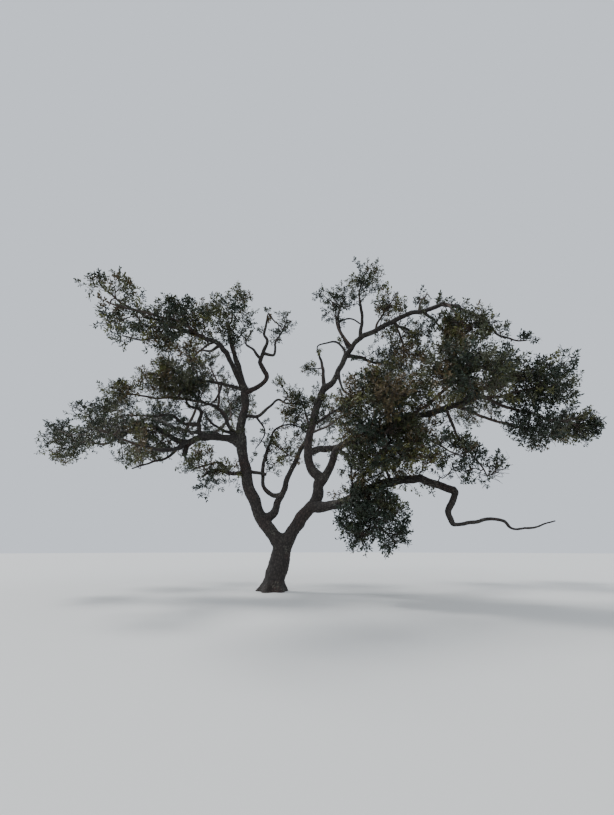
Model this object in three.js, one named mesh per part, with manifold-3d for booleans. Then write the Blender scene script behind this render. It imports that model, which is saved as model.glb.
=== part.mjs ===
// A spreading live oak. A short flared trunk forks near head height into two crooked stems, and
// their boughs carry thirty-six masses of foliage in a wide, low, open crown.
//
// Millimetres, +Z up. The origin is the middle of the flat cut under the trunk, at ground level.
// +X runs to the east side of the crown and +Y to its back.
import * as THREE from 'three';
import { mergeVertices } from 'three/addons/utils/BufferGeometryUtils.js';
import Module from 'manifold-3d';

const wasm = await Module();
wasm.setup();

// Driving dimensions of the wood
const CLEARANCE = 0.3; // air between a limb's root and the tip that it carries on from
const CUT_MARGIN = 0.45; // a cutting copy of a limb is this much thicker, for 0.3 of air on its flats
const TRUNK_SIDES = 18;
const TRUNK_STEPS = 7;
const TRUNK_GIRTH = [740, 740]; // across the trunk at the ground, before its flare, and at the fork
const FLARE = { reach: 300, height: 280, lobes: 5, turn: 170, hollow: 0.35 }; // over the roots
const FORK = { from: 1250, to: 1780, reach: 70 }; // the trunk widens east and west to its fork
const LIMB_SIDES = 6;
const MERGE_WITHIN = 0.01; // corners of a tube or spray that lie closer than this are one
const STEPS_PER_RUN = 2;
const COLLAR = { swell: 0.22, fade: 12 }; // a limb is this much thicker where it leaves its carrier

// The trunk and the limbs, in the order that they are grown. Each has the limb that carries it,
// how far along that limb it starts (0 to 1), the diameters at its start and at its tip, and its
// course in runs of [length, bearing, rise]. A bearing of 0 heads along +X and one of 90 along
// +Y, and a rise of 90 is straight up. Each new run is a bend that shows in the real limb.
const LIMBS = {
  trunk: { girth: TRUNK_GIRTH, course: [[820, 0, 77], [700, 0, 77], [300, 0, 80]] },
  right_stem: {
    on: 'trunk', at: 0.8, girth: [520, 420],
    course: [[700, 0, 55], [1390, 355, 50], [730, 349, 81]],
  },
  left_stem: {
    on: 'trunk', at: 0.78, girth: [500, 420],
    course: [[790, 176, 53], [1000, 173, 52], [900, 163, 67], [2370, 161, 76]],
  },
  left_leader: { on: 'left_stem', at: 1, girth: [420, 310], course: [[1400, 312, 79], [700, 245, 81]] },
  west_crest_limb: {
    on: 'left_leader', at: 0.97, girth: [250, 130],
    course: [[1450, 230, 60], [1400, 264, 38]],
  },
  finger_limb: {
    on: 'left_leader', at: 0.93, girth: [240, 120],
    course: [[900, 241, 37], [2100, 260, 8], [1100, 253, -18]],
  },
  gap_limb: {
    on: 'left_leader', at: 0.88, girth: [200, 75],
    course: [[1100, 343, 25], [950, 230, 65], [850, 325, 66], [400, 215, 66], [900, 310, 70]],
  },
  west_bough: {
    on: 'left_stem', at: 0.985, girth: [280, 120],
    course: [[1850, 190, -2], [650, 198, -20], [1850, 186, 22], [1400, 190, -36]],
  },
  west_stub: { on: 'west_bough', at: 0.28, girth: [230, 170], course: [[420, 200, -44], [520, 245, -77]] },
  upper_west_bough: {
    on: 'left_stem', at: 0.95, girth: [230, 100],
    course: [[2000, 147, 24], [2600, 146, 15], [2900, 154, 25]],
  },
  west_rise: {
    on: 'left_leader', at: 0.2, girth: [200, 90],
    course: [[550, 162, 26], [1250, 161, 58], [1250, 184, 26]],
  },
  low_west_limb: {
    on: 'left_stem', at: 0.835, girth: [150, 80],
    course: [[600, 205, -11], [950, 227, 0], [600, 233, -31]],
  },
  front_west_limb: {
    on: 'west_bough', at: 0.4, girth: [150, 90], course: [[1700, 258, -27], [1500, 253, -5]],
  },
  middle_stem: {
    on: 'left_stem', at: 0.38, girth: [340, 170],
    course: [[450, 17, 27], [600, 49, 67], [700, 46, 60], [1280, 37, 64], [1990, 55, 52]],
  },
  arch_limb: {
    on: 'middle_stem', at: 0.49, girth: [180, 100],
    course: [[420, 187, -4], [490, 171, 51], [900, 115, 76], [1270, 48, 72]],
  },
  right_leader: {
    on: 'right_stem', at: 1, girth: [420, 280],
    course: [[680, 165, 54], [1330, 87, 86], [1280, 356, 75], [1120, 355, 69]],
  },
  dead_stub: { on: 'right_leader', at: 0.984, girth: [150, 70], course: [[1300, 120, 80], [750, 144, 77]] },
  crest_arch: {
    on: 'right_leader', at: 0.976, girth: [270, 120],
    course: [[430, 344, 31], [1950, 317, 51], [2500, 315, 6], [1900, 308, -14]],
  },
  crest_limb: { on: 'crest_arch', at: 0.55, girth: [130, 90], course: [[1000, 280, 68], [620, 251, 58]] },
  east_limb: {
    on: 'right_stem', at: 0.95, girth: [340, 160],
    course: [[1000, 331, 52], [860, 293, 40], [2390, 309, 8], [3190, 342, 13]],
  },
  back_east_limb: {
    on: 'right_leader', at: 0.5, girth: [260, 120],
    course: [[2410, 40, 16], [3060, 48, 21], [2010, 31, 29]],
  },
  low_east_bough: {
    on: 'right_stem', at: 0.6, girth: [360, 220],
    course: [[1440, 313, 3], [2060, 330, 17], [1010, 336, 0], [1090, 338, -19]],
  },
  east_drop: { on: 'low_east_bough', at: 1, girth: [205, 150], course: [[750, 180, -67], [330, 0, -78]] },
  east_trail: {
    on: 'east_drop', at: 1, girth: [120, 45], course: [[1650, 355, 2], [300, 0, -45], [1400, 0, 8]],
  },
};

// Driving dimensions of the foliage
const STEM_SIDES = 4;
const STEM_STEPS = 3;
const STEM_GIRTH = [80, 16, 90]; // at its root, and as much more for each metre of it, and at its end
const STEM_GAP = 4; // the air between two stems that leave a limb side by side
const STEM_CROOK = 0.1; // how far a stem bows aside, as a share of its length
const STEM_SEED = 1000;
const FOLIAGE_SEED = 2000;
const TWIG_GIRTH = [32, 28];
const TWIG_HUB = 0.5; // where a twig ends, as a share of the mass's radius
const TWIG_JITTER = 0.15;
const CROWN_MIDDLE = new THREE.Vector3(900, 0, 6500); // a mass's first twig points away from here
const CROWN_LIFT = 0.5; // and this much further up
const TWIG_FROM = 0.5; // how far along its stem a mass's first and last twigs leave
const TWIG_TO = 1;
const TWIG_GAP = 2; // the least air between a twig or spray and another node
const SPRAY_PLACES = [[0.94, 20], [0.68, 48], [0.4, 64]]; // how far along its twig, and its lean
const SPRAY_LEAN_PLAY = 24;
const SPRAY_LENGTH = [420, 1500]; // the shortest and the longest spray
const SPRAY_WIDTH = 0.84; // as a share of the length
const SPRAY_WIDEST = 0.16; // a spray's widest place, from -1 at its root to 1 at its tip
const SPRAY_THICKNESS = 0.022; // as a share of the length
const SPRAY_FREE = 0.12; // past this share of its length, a spray stands clear of the rest of its mass
const SPRAY_TRIES = 16;
const SPRAYS_PER_SKIN = 1.34; // sprays to a square metre of a mass's skin, to the power that follows
const SPRAY_POWER = 0.75;
const SPACE_SLACK = 1.1; // a spray's broad corners may stand this far out of the space

// The masses of foliage. Each has the limb that carries its stem, how far along that limb the
// stem starts, the middle of its space, the space's half lengths along X, Y and Z, and how full
// it is of sprays, where 1 is a closed mass.
const MASSES = {
  west_finger: {
    on: 'finger_limb', at: 1, centre: [-4250, -6250, 8150], reach: [680, 900, 1200], full: 1.25,
  },
  west_top: { on: 'finger_limb', at: 0.85, centre: [-3400, -4500, 8650], reach: [1600, 1400, 1000] },
  west_crest: { on: 'west_crest_limb', at: 1, centre: [-1750, -2600, 10500], reach: [1050, 1400, 1100] },
  gap_tuft: { on: 'gap_limb', at: 1, centre: [150, -950, 10850], reach: [800, 800, 850], full: 0.6 },
  west_mid: { on: 'west_rise', at: 1, centre: [-5000, 0, 8650], reach: [1650, 1600, 900] },
  west_shoulder: { on: 'west_rise', at: 0.9, centre: [-6900, -300, 7850], reach: [1050, 1150, 650] },
  far_west: { on: 'west_bough', at: 1, centre: [-8650, -500, 5600], reach: [1450, 1500, 950], full: 1.25 },
  front_west: { on: 'front_west_limb', at: 1, centre: [-5200, -4200, 5000], reach: [1350, 1600, 900] },
  back_far_west: {
    on: 'upper_west_bough', at: 0.97, centre: [-9300, 3400, 8000], reach: [1700, 1700, 1050], full: 0.8,
  },
  inner_west: {
    on: 'west_bough', at: 0.7, centre: [-5100, -300, 5650], reach: [1500, 1300, 900], full: 0.8,
  },
  upper_inner_west: { on: 'west_rise', at: 0.7, centre: [-3400, 1300, 9750], reach: [1400, 1400, 1150] },
  back_west_top: {
    on: 'upper_west_bough', at: 0.62, centre: [-5300, 4500, 11400], reach: [2000, 1800, 1300], full: 0.8,
  },
  back_west: {
    on: 'upper_west_bough', at: 0.9, centre: [-8000, 6200, 9000], reach: [2000, 1700, 1200], full: 0.8,
  },
  back_mid: {
    on: 'upper_west_bough', at: 0.35, centre: [-3300, 5700, 9700], reach: [1800, 1800, 1200], full: 0.8,
  },
  low_west: {
    on: 'low_west_limb', at: 1, centre: [-2400, -1750, 4250], reach: [1000, 1100, 850], full: 0.7,
  },
  crest: { on: 'crest_limb', at: 1, centre: [3750, -2200, 12450], reach: [800, 1000, 1000], full: 1.25 },
  crest_left: { on: 'crest_arch', at: 0.48, centre: [2450, -1600, 11500], reach: [600, 750, 900] },
  crest_right: { on: 'crest_arch', at: 0.62, centre: [4700, -2350, 10950], reach: [900, 1200, 850] },
  crest_tuft: { on: 'crest_arch', at: 0.85, centre: [5950, -3200, 10750], reach: [560, 620, 560] },
  east_top: { on: 'crest_arch', at: 1, centre: [6600, -4600, 8500], reach: [1150, 1300, 750], full: 1.25 },
  inner_crest: { on: 'crest_arch', at: 0.72, centre: [5450, -1000, 9350], reach: [1200, 1300, 1050] },
  mid_east: { on: 'east_limb', at: 0.66, centre: [3900, -3700, 6350], reach: [1600, 1600, 1050] },
  front_east: { on: 'east_limb', at: 0.805, centre: [5950, -5500, 6350], reach: [1250, 1700, 1100] },
  east_shelf: { on: 'east_limb', at: 0.978, centre: [9050, -3700, 6650], reach: [1450, 1500, 850] },
  far_east: { on: 'east_limb', at: 1, centre: [11050, -2450, 5750], reach: [950, 1100, 850], full: 1.25 },
  low_shelf: { on: 'east_limb', at: 0.94, centre: [9000, -3300, 5250], reach: [1150, 1300, 750] },
  under_east: { on: 'east_limb', at: 0.8, centre: [5600, -4200, 4400], reach: [1050, 1200, 650] },
  inner_low_east: {
    on: 'low_east_bough', at: 0.52, centre: [3950, -3400, 4750], reach: [1600, 1500, 1050],
  },
  low_east: { on: 'east_limb', at: 0.92, centre: [6850, -3600, 4000], reach: [1000, 1200, 850] },
  hanging: {
    on: 'low_east_bough', at: 0.4, centre: [3500, -3000, 2350], reach: [1250, 1200, 1200], full: 1.25,
  },
  inner_east: {
    on: 'right_leader', at: 0.65, centre: [1150, 900, 7800], reach: [1250, 1100, 1000], full: 0.8,
  },
  arch_ball: { on: 'arch_limb', at: 1, centre: [300, 1050, 5600], reach: [850, 900, 900], full: 0.7 },
  back_east_top: {
    on: 'back_east_limb', at: 0.8, centre: [6300, 3900, 10300], reach: [1900, 1800, 1250], full: 0.8,
  },
  back_far_east: {
    on: 'back_east_limb', at: 1, centre: [9900, 3000, 8750], reach: [1900, 1800, 1200], full: 0.8,
  },
  back_east: {
    on: 'back_east_limb', at: 0.94, centre: [7700, 6500, 8700], reach: [2100, 1600, 1200], full: 0.8,
  },
  back_inner: {
    on: 'middle_stem', at: 1, centre: [3300, 6100, 9000], reach: [1700, 1700, 1150], full: 0.8,
  },
};

const bark = new THREE.MeshStandardMaterial({ color: 0x564b43, roughness: 0.92, metalness: 0 });
const foliage = new THREE.MeshStandardMaterial({ color: 0x47512c, roughness: 0.7, metalness: 0 });

// The same seed gives the same tree each time
function randomFrom(seed) {
  let state = seed;
  return () => {
    state = (state * 1664525 + 1013904223) % 4294967296;
    return state / 4294967296;
  };
}

function unitVector(random) {
  const z = 2 * random() - 1;
  const turn = 2 * Math.PI * random();
  const flat = Math.sqrt(1 - z * z);
  return new THREE.Vector3(flat * Math.cos(turn), flat * Math.sin(turn), z);
}

// Even directions all round a sphere, for the twigs of a mass
function evenDirection(index, count) {
  const z = 1 - (2 * index + 1) / count;
  const turn = index * Math.PI * (3 - Math.sqrt(5));
  const flat = Math.sqrt(1 - z * z);
  return new THREE.Vector3(flat * Math.cos(turn), flat * Math.sin(turn), z);
}

function runVector([length, bearing, rise]) {
  const turn = THREE.MathUtils.degToRad(bearing);
  const climb = THREE.MathUtils.degToRad(rise);
  const flat = Math.cos(climb);
  const ahead = new THREE.Vector3(flat * Math.cos(turn), flat * Math.sin(turn), Math.sin(climb));
  return ahead.multiplyScalar(length);
}

function smoothCurve(points) {
  return new THREE.CatmullRomCurve3(points, false, 'centripetal');
}

// The points of a limb's course. A limb that carries on from its carrier's tip leaves it straight,
// and any other starts inside its carrier and is cut there.
function limbCurve(limb) {
  if (!limb.on) {
    return smoothCurve(courseFrom(new THREE.Vector3(), limb.course));
  }
  const carrier = curves[limb.on];
  const start = carrier.getPoint(limb.at);
  if (limb.at < 1) {
    return smoothCurve(courseFrom(start, limb.course));
  }
  const ahead = carrier.getTangent(1);
  const root = start.clone().addScaledVector(ahead, CLEARANCE);
  const straight = start.clone().addScaledVector(ahead, limb.girth[0] / 2);
  return smoothCurve([root, ...courseFrom(straight, limb.course)]);
}

function courseFrom(start, runs) {
  const points = [start];
  for (const run of runs) {
    points.push(points[points.length - 1].clone().add(runVector(run)));
  }
  return points;
}

// Half the girth at a share of a limb's length, with the collar at its root
function taper([startGirth, tipGirth], share) {
  const even = THREE.MathUtils.lerp(startGirth, tipGirth, share) / 2;
  return even * (1 + COLLAR.swell * Math.exp(-COLLAR.fade * share));
}

function trunkRadius(share, angle, height) {
  const even = THREE.MathUtils.lerp(TRUNK_GIRTH[0], TRUNK_GIRTH[1], share) / 2;
  const lobe = 0.5 + 0.5 * Math.cos(FLARE.lobes * (angle - THREE.MathUtils.degToRad(FLARE.turn)));
  const fullness = THREE.MathUtils.lerp(FLARE.hollow, 1, lobe);
  const flare = FLARE.reach * Math.exp(-height / FLARE.height) * fullness;
  const fork = FORK.reach * THREE.MathUtils.smoothstep(height, FORK.from, FORK.to);
  return even + flare + fork * Math.cos(angle) ** 2;
}

// A closed tube along a curve: a cylinder whose rings are moved onto the curve one by one.
// radiusAt takes the share of the length, the angle round the section and the height, and grow
// makes a copy that is a little thicker and longer, to cut with.
function tube(curve, radiusAt, sides, steps, grow = 0) {
  const geometry = new THREE.CylinderGeometry(1, 1, 1, sides, steps);
  const places = geometry.attributes.position;
  const frames = sectionFrames(curve, steps);
  const pastRoot = frames[0].centre.clone().sub(frames[1].centre).setLength(grow);
  const pastTip = frames[steps].centre.clone().sub(frames[steps - 1].centre).setLength(grow);
  for (let i = 0; i < places.count; i += 1) {
    const share = places.getY(i) + 0.5;
    const frame = frames[Math.round(share * steps)];
    const angle = Math.atan2(places.getZ(i), places.getX(i));
    const onAxis = Math.hypot(places.getX(i), places.getZ(i)) < 0.5;
    const radius = onAxis ? 0 : radiusAt(share, angle, frame.centre.z) + grow;
    const place = frame.centre.clone();
    place.addScaledVector(frame.side, radius * Math.cos(angle));
    place.addScaledVector(frame.up, radius * Math.sin(angle));
    if (share < 0.001) place.add(pastRoot);
    if (share > 0.999) place.add(pastTip);
    places.setXYZ(i, place.x, place.y, place.z);
  }
  return solidOf(geometry);
}

// The centre, direction and two cross directions of each ring, turning as little as they can.
// The trunk's first ring lies flat on the ground.
function sectionFrames(curve, steps) {
  const frames = [];
  let side = new THREE.Vector3(1, 0, 0);
  for (let i = 0; i <= steps; i += 1) {
    const isFlat = i === 0 && curve.levelStart;
    const ahead = isFlat ? new THREE.Vector3(0, 0, 1) : curve.getTangent(i / steps);
    side = side.clone().addScaledVector(ahead, -side.dot(ahead));
    if (side.length() < 0.2) { // too nearly along the limb to tell a direction from
      side = new THREE.Vector3(0, 1, 0).addScaledVector(ahead, -ahead.y);
    }
    side.normalize();
    const up = new THREE.Vector3().crossVectors(ahead, side);
    frames.push({ centre: curve.getPoint(i / steps), ahead, side, up });
  }
  return frames;
}

function solidOf(geometry) {
  geometry.deleteAttribute('normal');
  geometry.deleteAttribute('uv');
  const merged = mergeVertices(geometry, MERGE_WITHIN);
  const vertProperties = new Float32Array(merged.attributes.position.array);
  const triVerts = new Uint32Array(merged.index.array);
  const solid = new wasm.Manifold(new wasm.Mesh({ numProp: 3, vertProperties, triVerts }));
  if (solid.volume() > 0) return solid;
  return new wasm.Manifold(new wasm.Mesh({ numProp: 3, vertProperties, triVerts: triVerts.reverse() }));
}

// The mesh keeps its place as its own position, with its points measured from there
function meshOf(name, solid, origin, material) {
  const { vertProperties, triVerts } = solid.translate([-origin.x, -origin.y, -origin.z]).getMesh();
  const geometry = new THREE.BufferGeometry();
  geometry.setAttribute('position', new THREE.BufferAttribute(new Float32Array(vertProperties), 3));
  geometry.setIndex(new THREE.BufferAttribute(new Uint32Array(triVerts), 1));
  geometry.computeVertexNormals();
  const mesh = new THREE.Mesh(geometry, material);
  mesh.name = name;
  mesh.position.copy(origin);
  return mesh;
}

function largestBody(solid) {
  const bodies = solid.decompose();
  bodies.sort((a, b) => b.volume() - a.volume());
  return bodies[0];
}

function boxesNear(a, b, distance) {
  const one = a.boundingBox();
  const two = b.boundingBox();
  const reaches = (i) => one.min[i] - distance < two.max[i] && two.min[i] - distance < one.max[i];
  return [0, 1, 2].every(reaches);
}

// A limb or stem is cut by all that grew before it, but for a carrier whose tip it stands clear of
function cutClear(solid, { on, at }) {
  let left = solid;
  for (const [name, cutter] of Object.entries(cutters)) {
    const standsOff = name === on && at === 1;
    if (!standsOff && boxesNear(left, cutter, 0)) left = left.subtract(cutter);
  }
  return largestBody(left);
}

function standsClear(solid, others) {
  const near = others.filter((other) => boxesNear(solid, other, TWIG_GAP));
  return near.every((other) => solid.minGap(other, TWIG_GAP) >= TWIG_GAP);
}

// A flat spray of leaves: an eight-faced blade, widest past its middle
function spray(root, tip, across) {
  const ahead = tip.clone().sub(root);
  const length = ahead.length();
  ahead.normalize();
  const thick = new THREE.Vector3().crossVectors(ahead, across);
  const geometry = new THREE.OctahedronGeometry(1);
  const places = geometry.attributes.position;
  for (let i = 0; i < places.count; i += 1) {
    if (Math.abs(places.getX(i)) < 0.5) places.setX(i, SPRAY_WIDEST);
  }
  const place = new THREE.Matrix4().makeBasis(
    ahead.clone().multiplyScalar(length / 2),
    across.clone().multiplyScalar((SPRAY_WIDTH * length) / 2),
    thick.multiplyScalar((SPRAY_THICKNESS * length) / 2),
  );
  place.setPosition(root.clone().add(tip).multiplyScalar(0.5));
  return solidOf(geometry.applyMatrix4(place));
}

function twig(start, end) {
  const curve = smoothCurve([start, end]);
  return tube(curve, (share) => THREE.MathUtils.lerp(TWIG_GIRTH[0], TWIG_GIRTH[1], share) / 2, 3, 1);
}

// How far out a point lies in a mass's space: 0 in the middle and 1 on its skin
function depthIn(mass, point) {
  const shares = [0, 1, 2].map((i) => (point.getComponent(i) - mass.centre[i]) / mass.reach[i]);
  return Math.hypot(...shares);
}

// A mass keeps to its space, and where two spaces meet, to the points that lie deeper in its own
function keepsToSpace(mass, point) {
  const own = depthIn(mass, point);
  const others = Object.values(MASSES).filter((other) => other !== mass);
  return own <= SPACE_SLACK && others.every((other) => depthIn(other, point) > own);
}

// The distance from a point to the skin of the space, going one way
function skinDistance(mass, from, ahead) {
  const reach = new THREE.Vector3(...mass.reach);
  const a = from.clone().sub(new THREE.Vector3(...mass.centre)).divide(reach);
  const b = ahead.clone().divide(reach);
  const along = a.dot(b);
  const within = along * along + b.lengthSq() * (1 - a.lengthSq());
  return within > 0 ? (-along + Math.sqrt(within)) / b.lengthSq() : 0;
}

// The stem leaves its limb, bows aside and up, and runs on through the middle of the space
function stemCurve(mass, random) {
  const carrier = curves[mass.on];
  const centre = new THREE.Vector3(...mass.centre);
  const start = carrier.getPoint(mass.at);
  const points = [start];
  if (mass.at === 1) {
    const ahead = carrier.getTangent(1);
    points[0] = start.clone().addScaledVector(ahead, CLEARANCE);
    points.push(start.clone().addScaledVector(ahead, STEM_GIRTH[0]));
  }
  const span = centre.clone().sub(start);
  const bow = unitVector(random).multiplyScalar(STEM_CROOK * span.length());
  points.push(start.clone().addScaledVector(span, 0.5).add(bow), centre);
  const inner = Math.min(...mass.reach) * TWIG_HUB;
  points.push(centre.clone().addScaledVector(span.normalize(), inner));
  return smoothCurve(points);
}

// A spray leaves the side of its twig, lies in the twig's plane and reaches the skin of the space.
// It is tried a few ways round, and there is none if each way leaves the space or touches what is
// already there.
function growSpray(mass, root, axis, lean, others, grown, random) {
  for (let attempt = 0; attempt < SPRAY_TRIES; attempt += 1) {
    const aside = new THREE.Vector3().crossVectors(axis, unitVector(random)).normalize();
    const turn = THREE.MathUtils.degToRad(lean + SPRAY_LEAN_PLAY * (random() - 0.5));
    const ahead = axis.clone().multiplyScalar(Math.cos(turn)).addScaledVector(aside, Math.sin(turn));
    const length = Math.min(skinDistance(mass, root, ahead), SPRAY_LENGTH[1]);
    if (length < SPRAY_LENGTH[0]) continue;
    const tip = root.clone().addScaledVector(ahead, length);
    const across = axis.clone().addScaledVector(ahead, -axis.dot(ahead)).normalize();
    const blade = spray(root, tip, across);
    const outer = spray(root.clone().lerp(tip, SPRAY_FREE), tip, across);
    const inSpace = cornersOf(blade).every((corner) => keepsToSpace(mass, corner));
    if (inSpace && standsClear(blade, others) && standsClear(outer, grown)) return { blade, outer };
  }
  return null;
}

// The twigs of a mass leave its stem one after another for even places in its space, and each
// carries a few sprays. A twig that would touch another node is skipped.
function growFoliage(mass, stem, others, random) {
  const centre = new THREE.Vector3(...mass.centre);
  const reach = new THREE.Vector3(...mass.reach);
  const [rx, ry, rz] = mass.reach.map((half) => half / 1000);
  const skin = (4 * Math.PI * (rx * ry + ry * rz + rz * rx)) / 3;
  const sprays = (mass.full ?? 1) * SPRAYS_PER_SKIN * skin ** SPRAY_POWER;
  const count = Math.max(2, Math.round(sprays / SPRAY_PLACES.length));
  const outward = centre.clone().sub(CROWN_MIDDLE).normalize().add(new THREE.Vector3(0, 0, CROWN_LIFT));
  const turn = new THREE.Quaternion().setFromUnitVectors(new THREE.Vector3(0, 0, 1), outward.normalize());
  const hubs = [];
  for (let i = 0; i < count; i += 1) {
    const way = evenDirection(i, count).applyQuaternion(turn);
    way.addScaledVector(unitVector(random), TWIG_JITTER).normalize();
    hubs.push(way.multiply(reach).multiplyScalar(TWIG_HUB).add(centre));
  }
  const stemAhead = stem.curve.getTangent(1);
  hubs.sort((a, b) => a.dot(stemAhead) - b.dot(stemAhead));
  const twigs = [];
  hubs.forEach((hub, i) => {
    const start = stem.curve.getPoint(THREE.MathUtils.lerp(TWIG_FROM, TWIG_TO, (i + 0.5) / count));
    const solid = twig(start, hub);
    if (standsClear(solid, others)) twigs.push({ start, hub, solid });
  });
  const wood = [stem.solid, ...twigs.map(({ solid }) => solid)];
  const grown = [...wood];
  const pieces = [...wood];
  for (const [share, lean] of SPRAY_PLACES) {
    for (const { start, hub } of twigs) {
      const root = start.clone().lerp(hub, share);
      const axis = hub.clone().sub(start).normalize();
      const found = growSpray(mass, root, axis, lean, others, grown, random);
      if (found) {
        pieces.push(found.blade);
        grown.push(found.outer);
      }
    }
  }
  return largestBody(wasm.Manifold.union(pieces));
}

function cornersOf(solid) {
  const { vertProperties } = solid.getMesh();
  const corners = [];
  for (let i = 0; i < vertProperties.length; i += 3) {
    corners.push(new THREE.Vector3(vertProperties[i], vertProperties[i + 1], vertProperties[i + 2]));
  }
  return corners;
}

const group = new THREE.Group();
const curves = {};
const solids = [];
const cutters = {};

for (const [name, limb] of Object.entries(LIMBS)) {
  const curve = limbCurve(limb);
  const isTrunk = name === 'trunk';
  curve.levelStart = isTrunk;
  const sides = isTrunk ? TRUNK_SIDES : LIMB_SIDES;
  const steps = isTrunk ? TRUNK_STEPS : STEPS_PER_RUN * (curve.points.length - 1);
  const radiusAt = isTrunk ? trunkRadius : (share) => taper(limb.girth, share);
  const solid = cutClear(tube(curve, radiusAt, sides, steps), limb);
  curves[name] = curve;
  solids.push(solid);
  cutters[name] = tube(curve, radiusAt, sides, steps, CUT_MARGIN);
  group.add(meshOf(name, solid, curve.getPoint(0), bark));
}

const stems = {};
for (const [index, [name, mass]] of Object.entries(MASSES).entries()) {
  const curve = stemCurve(mass, randomFrom(STEM_SEED + index));
  const [rootGirth, girthPerMetre, endGirth] = STEM_GIRTH;
  const girth = [rootGirth + (girthPerMetre * curve.getLength()) / 1000, endGirth];
  const radiusAt = (share) => taper(girth, share);
  const solid = cutClear(tube(curve, radiusAt, STEM_SIDES, STEM_STEPS), mass);
  stems[name] = { curve, solid };
  cutters[name] = tube(curve, radiusAt, STEM_SIDES, STEM_STEPS, STEM_GAP);
}

for (const [index, [name, mass]] of Object.entries(MASSES).entries()) {
  const otherStems = Object.keys(stems).filter((other) => other !== name);
  const others = [...solids, ...otherStems.map((other) => stems[other].solid)];
  const solid = growFoliage(mass, stems[name], others, randomFrom(FOLIAGE_SEED + index));
  solids.push(solid);
  group.add(meshOf(`${name}_foliage`, solid, new THREE.Vector3(...mass.centre), foliage));
}

export default group;
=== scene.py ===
# A spreading live oak, dressed: bark on its trunk, stems and boughs, and leafy twigs in place of
# each foliage mass. Metres, +Z up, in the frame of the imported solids. +X runs to the east side
# of the crown and +Y to its back.
import math

import bmesh
import bpy
import numpy as np
from mathutils import Matrix, Vector, kdtree, noise


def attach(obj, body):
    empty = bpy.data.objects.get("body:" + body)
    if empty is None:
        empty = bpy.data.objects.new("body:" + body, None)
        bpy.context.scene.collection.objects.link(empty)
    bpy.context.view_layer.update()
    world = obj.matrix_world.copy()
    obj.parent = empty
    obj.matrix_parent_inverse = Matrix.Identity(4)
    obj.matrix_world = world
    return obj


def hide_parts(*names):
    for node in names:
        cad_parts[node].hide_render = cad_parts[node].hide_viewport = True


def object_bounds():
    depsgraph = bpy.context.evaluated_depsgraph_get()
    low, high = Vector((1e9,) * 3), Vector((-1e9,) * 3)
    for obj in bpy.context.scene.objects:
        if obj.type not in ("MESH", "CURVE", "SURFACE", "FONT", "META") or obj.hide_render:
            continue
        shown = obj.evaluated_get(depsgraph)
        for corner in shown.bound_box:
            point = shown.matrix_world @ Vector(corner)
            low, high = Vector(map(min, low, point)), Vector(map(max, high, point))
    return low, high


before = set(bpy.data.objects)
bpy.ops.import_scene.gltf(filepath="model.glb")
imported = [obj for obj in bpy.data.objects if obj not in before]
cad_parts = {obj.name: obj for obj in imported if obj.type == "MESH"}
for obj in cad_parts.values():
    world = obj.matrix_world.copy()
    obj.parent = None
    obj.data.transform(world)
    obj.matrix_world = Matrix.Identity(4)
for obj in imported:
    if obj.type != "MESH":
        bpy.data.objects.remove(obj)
cad_low, cad_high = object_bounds()

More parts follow.
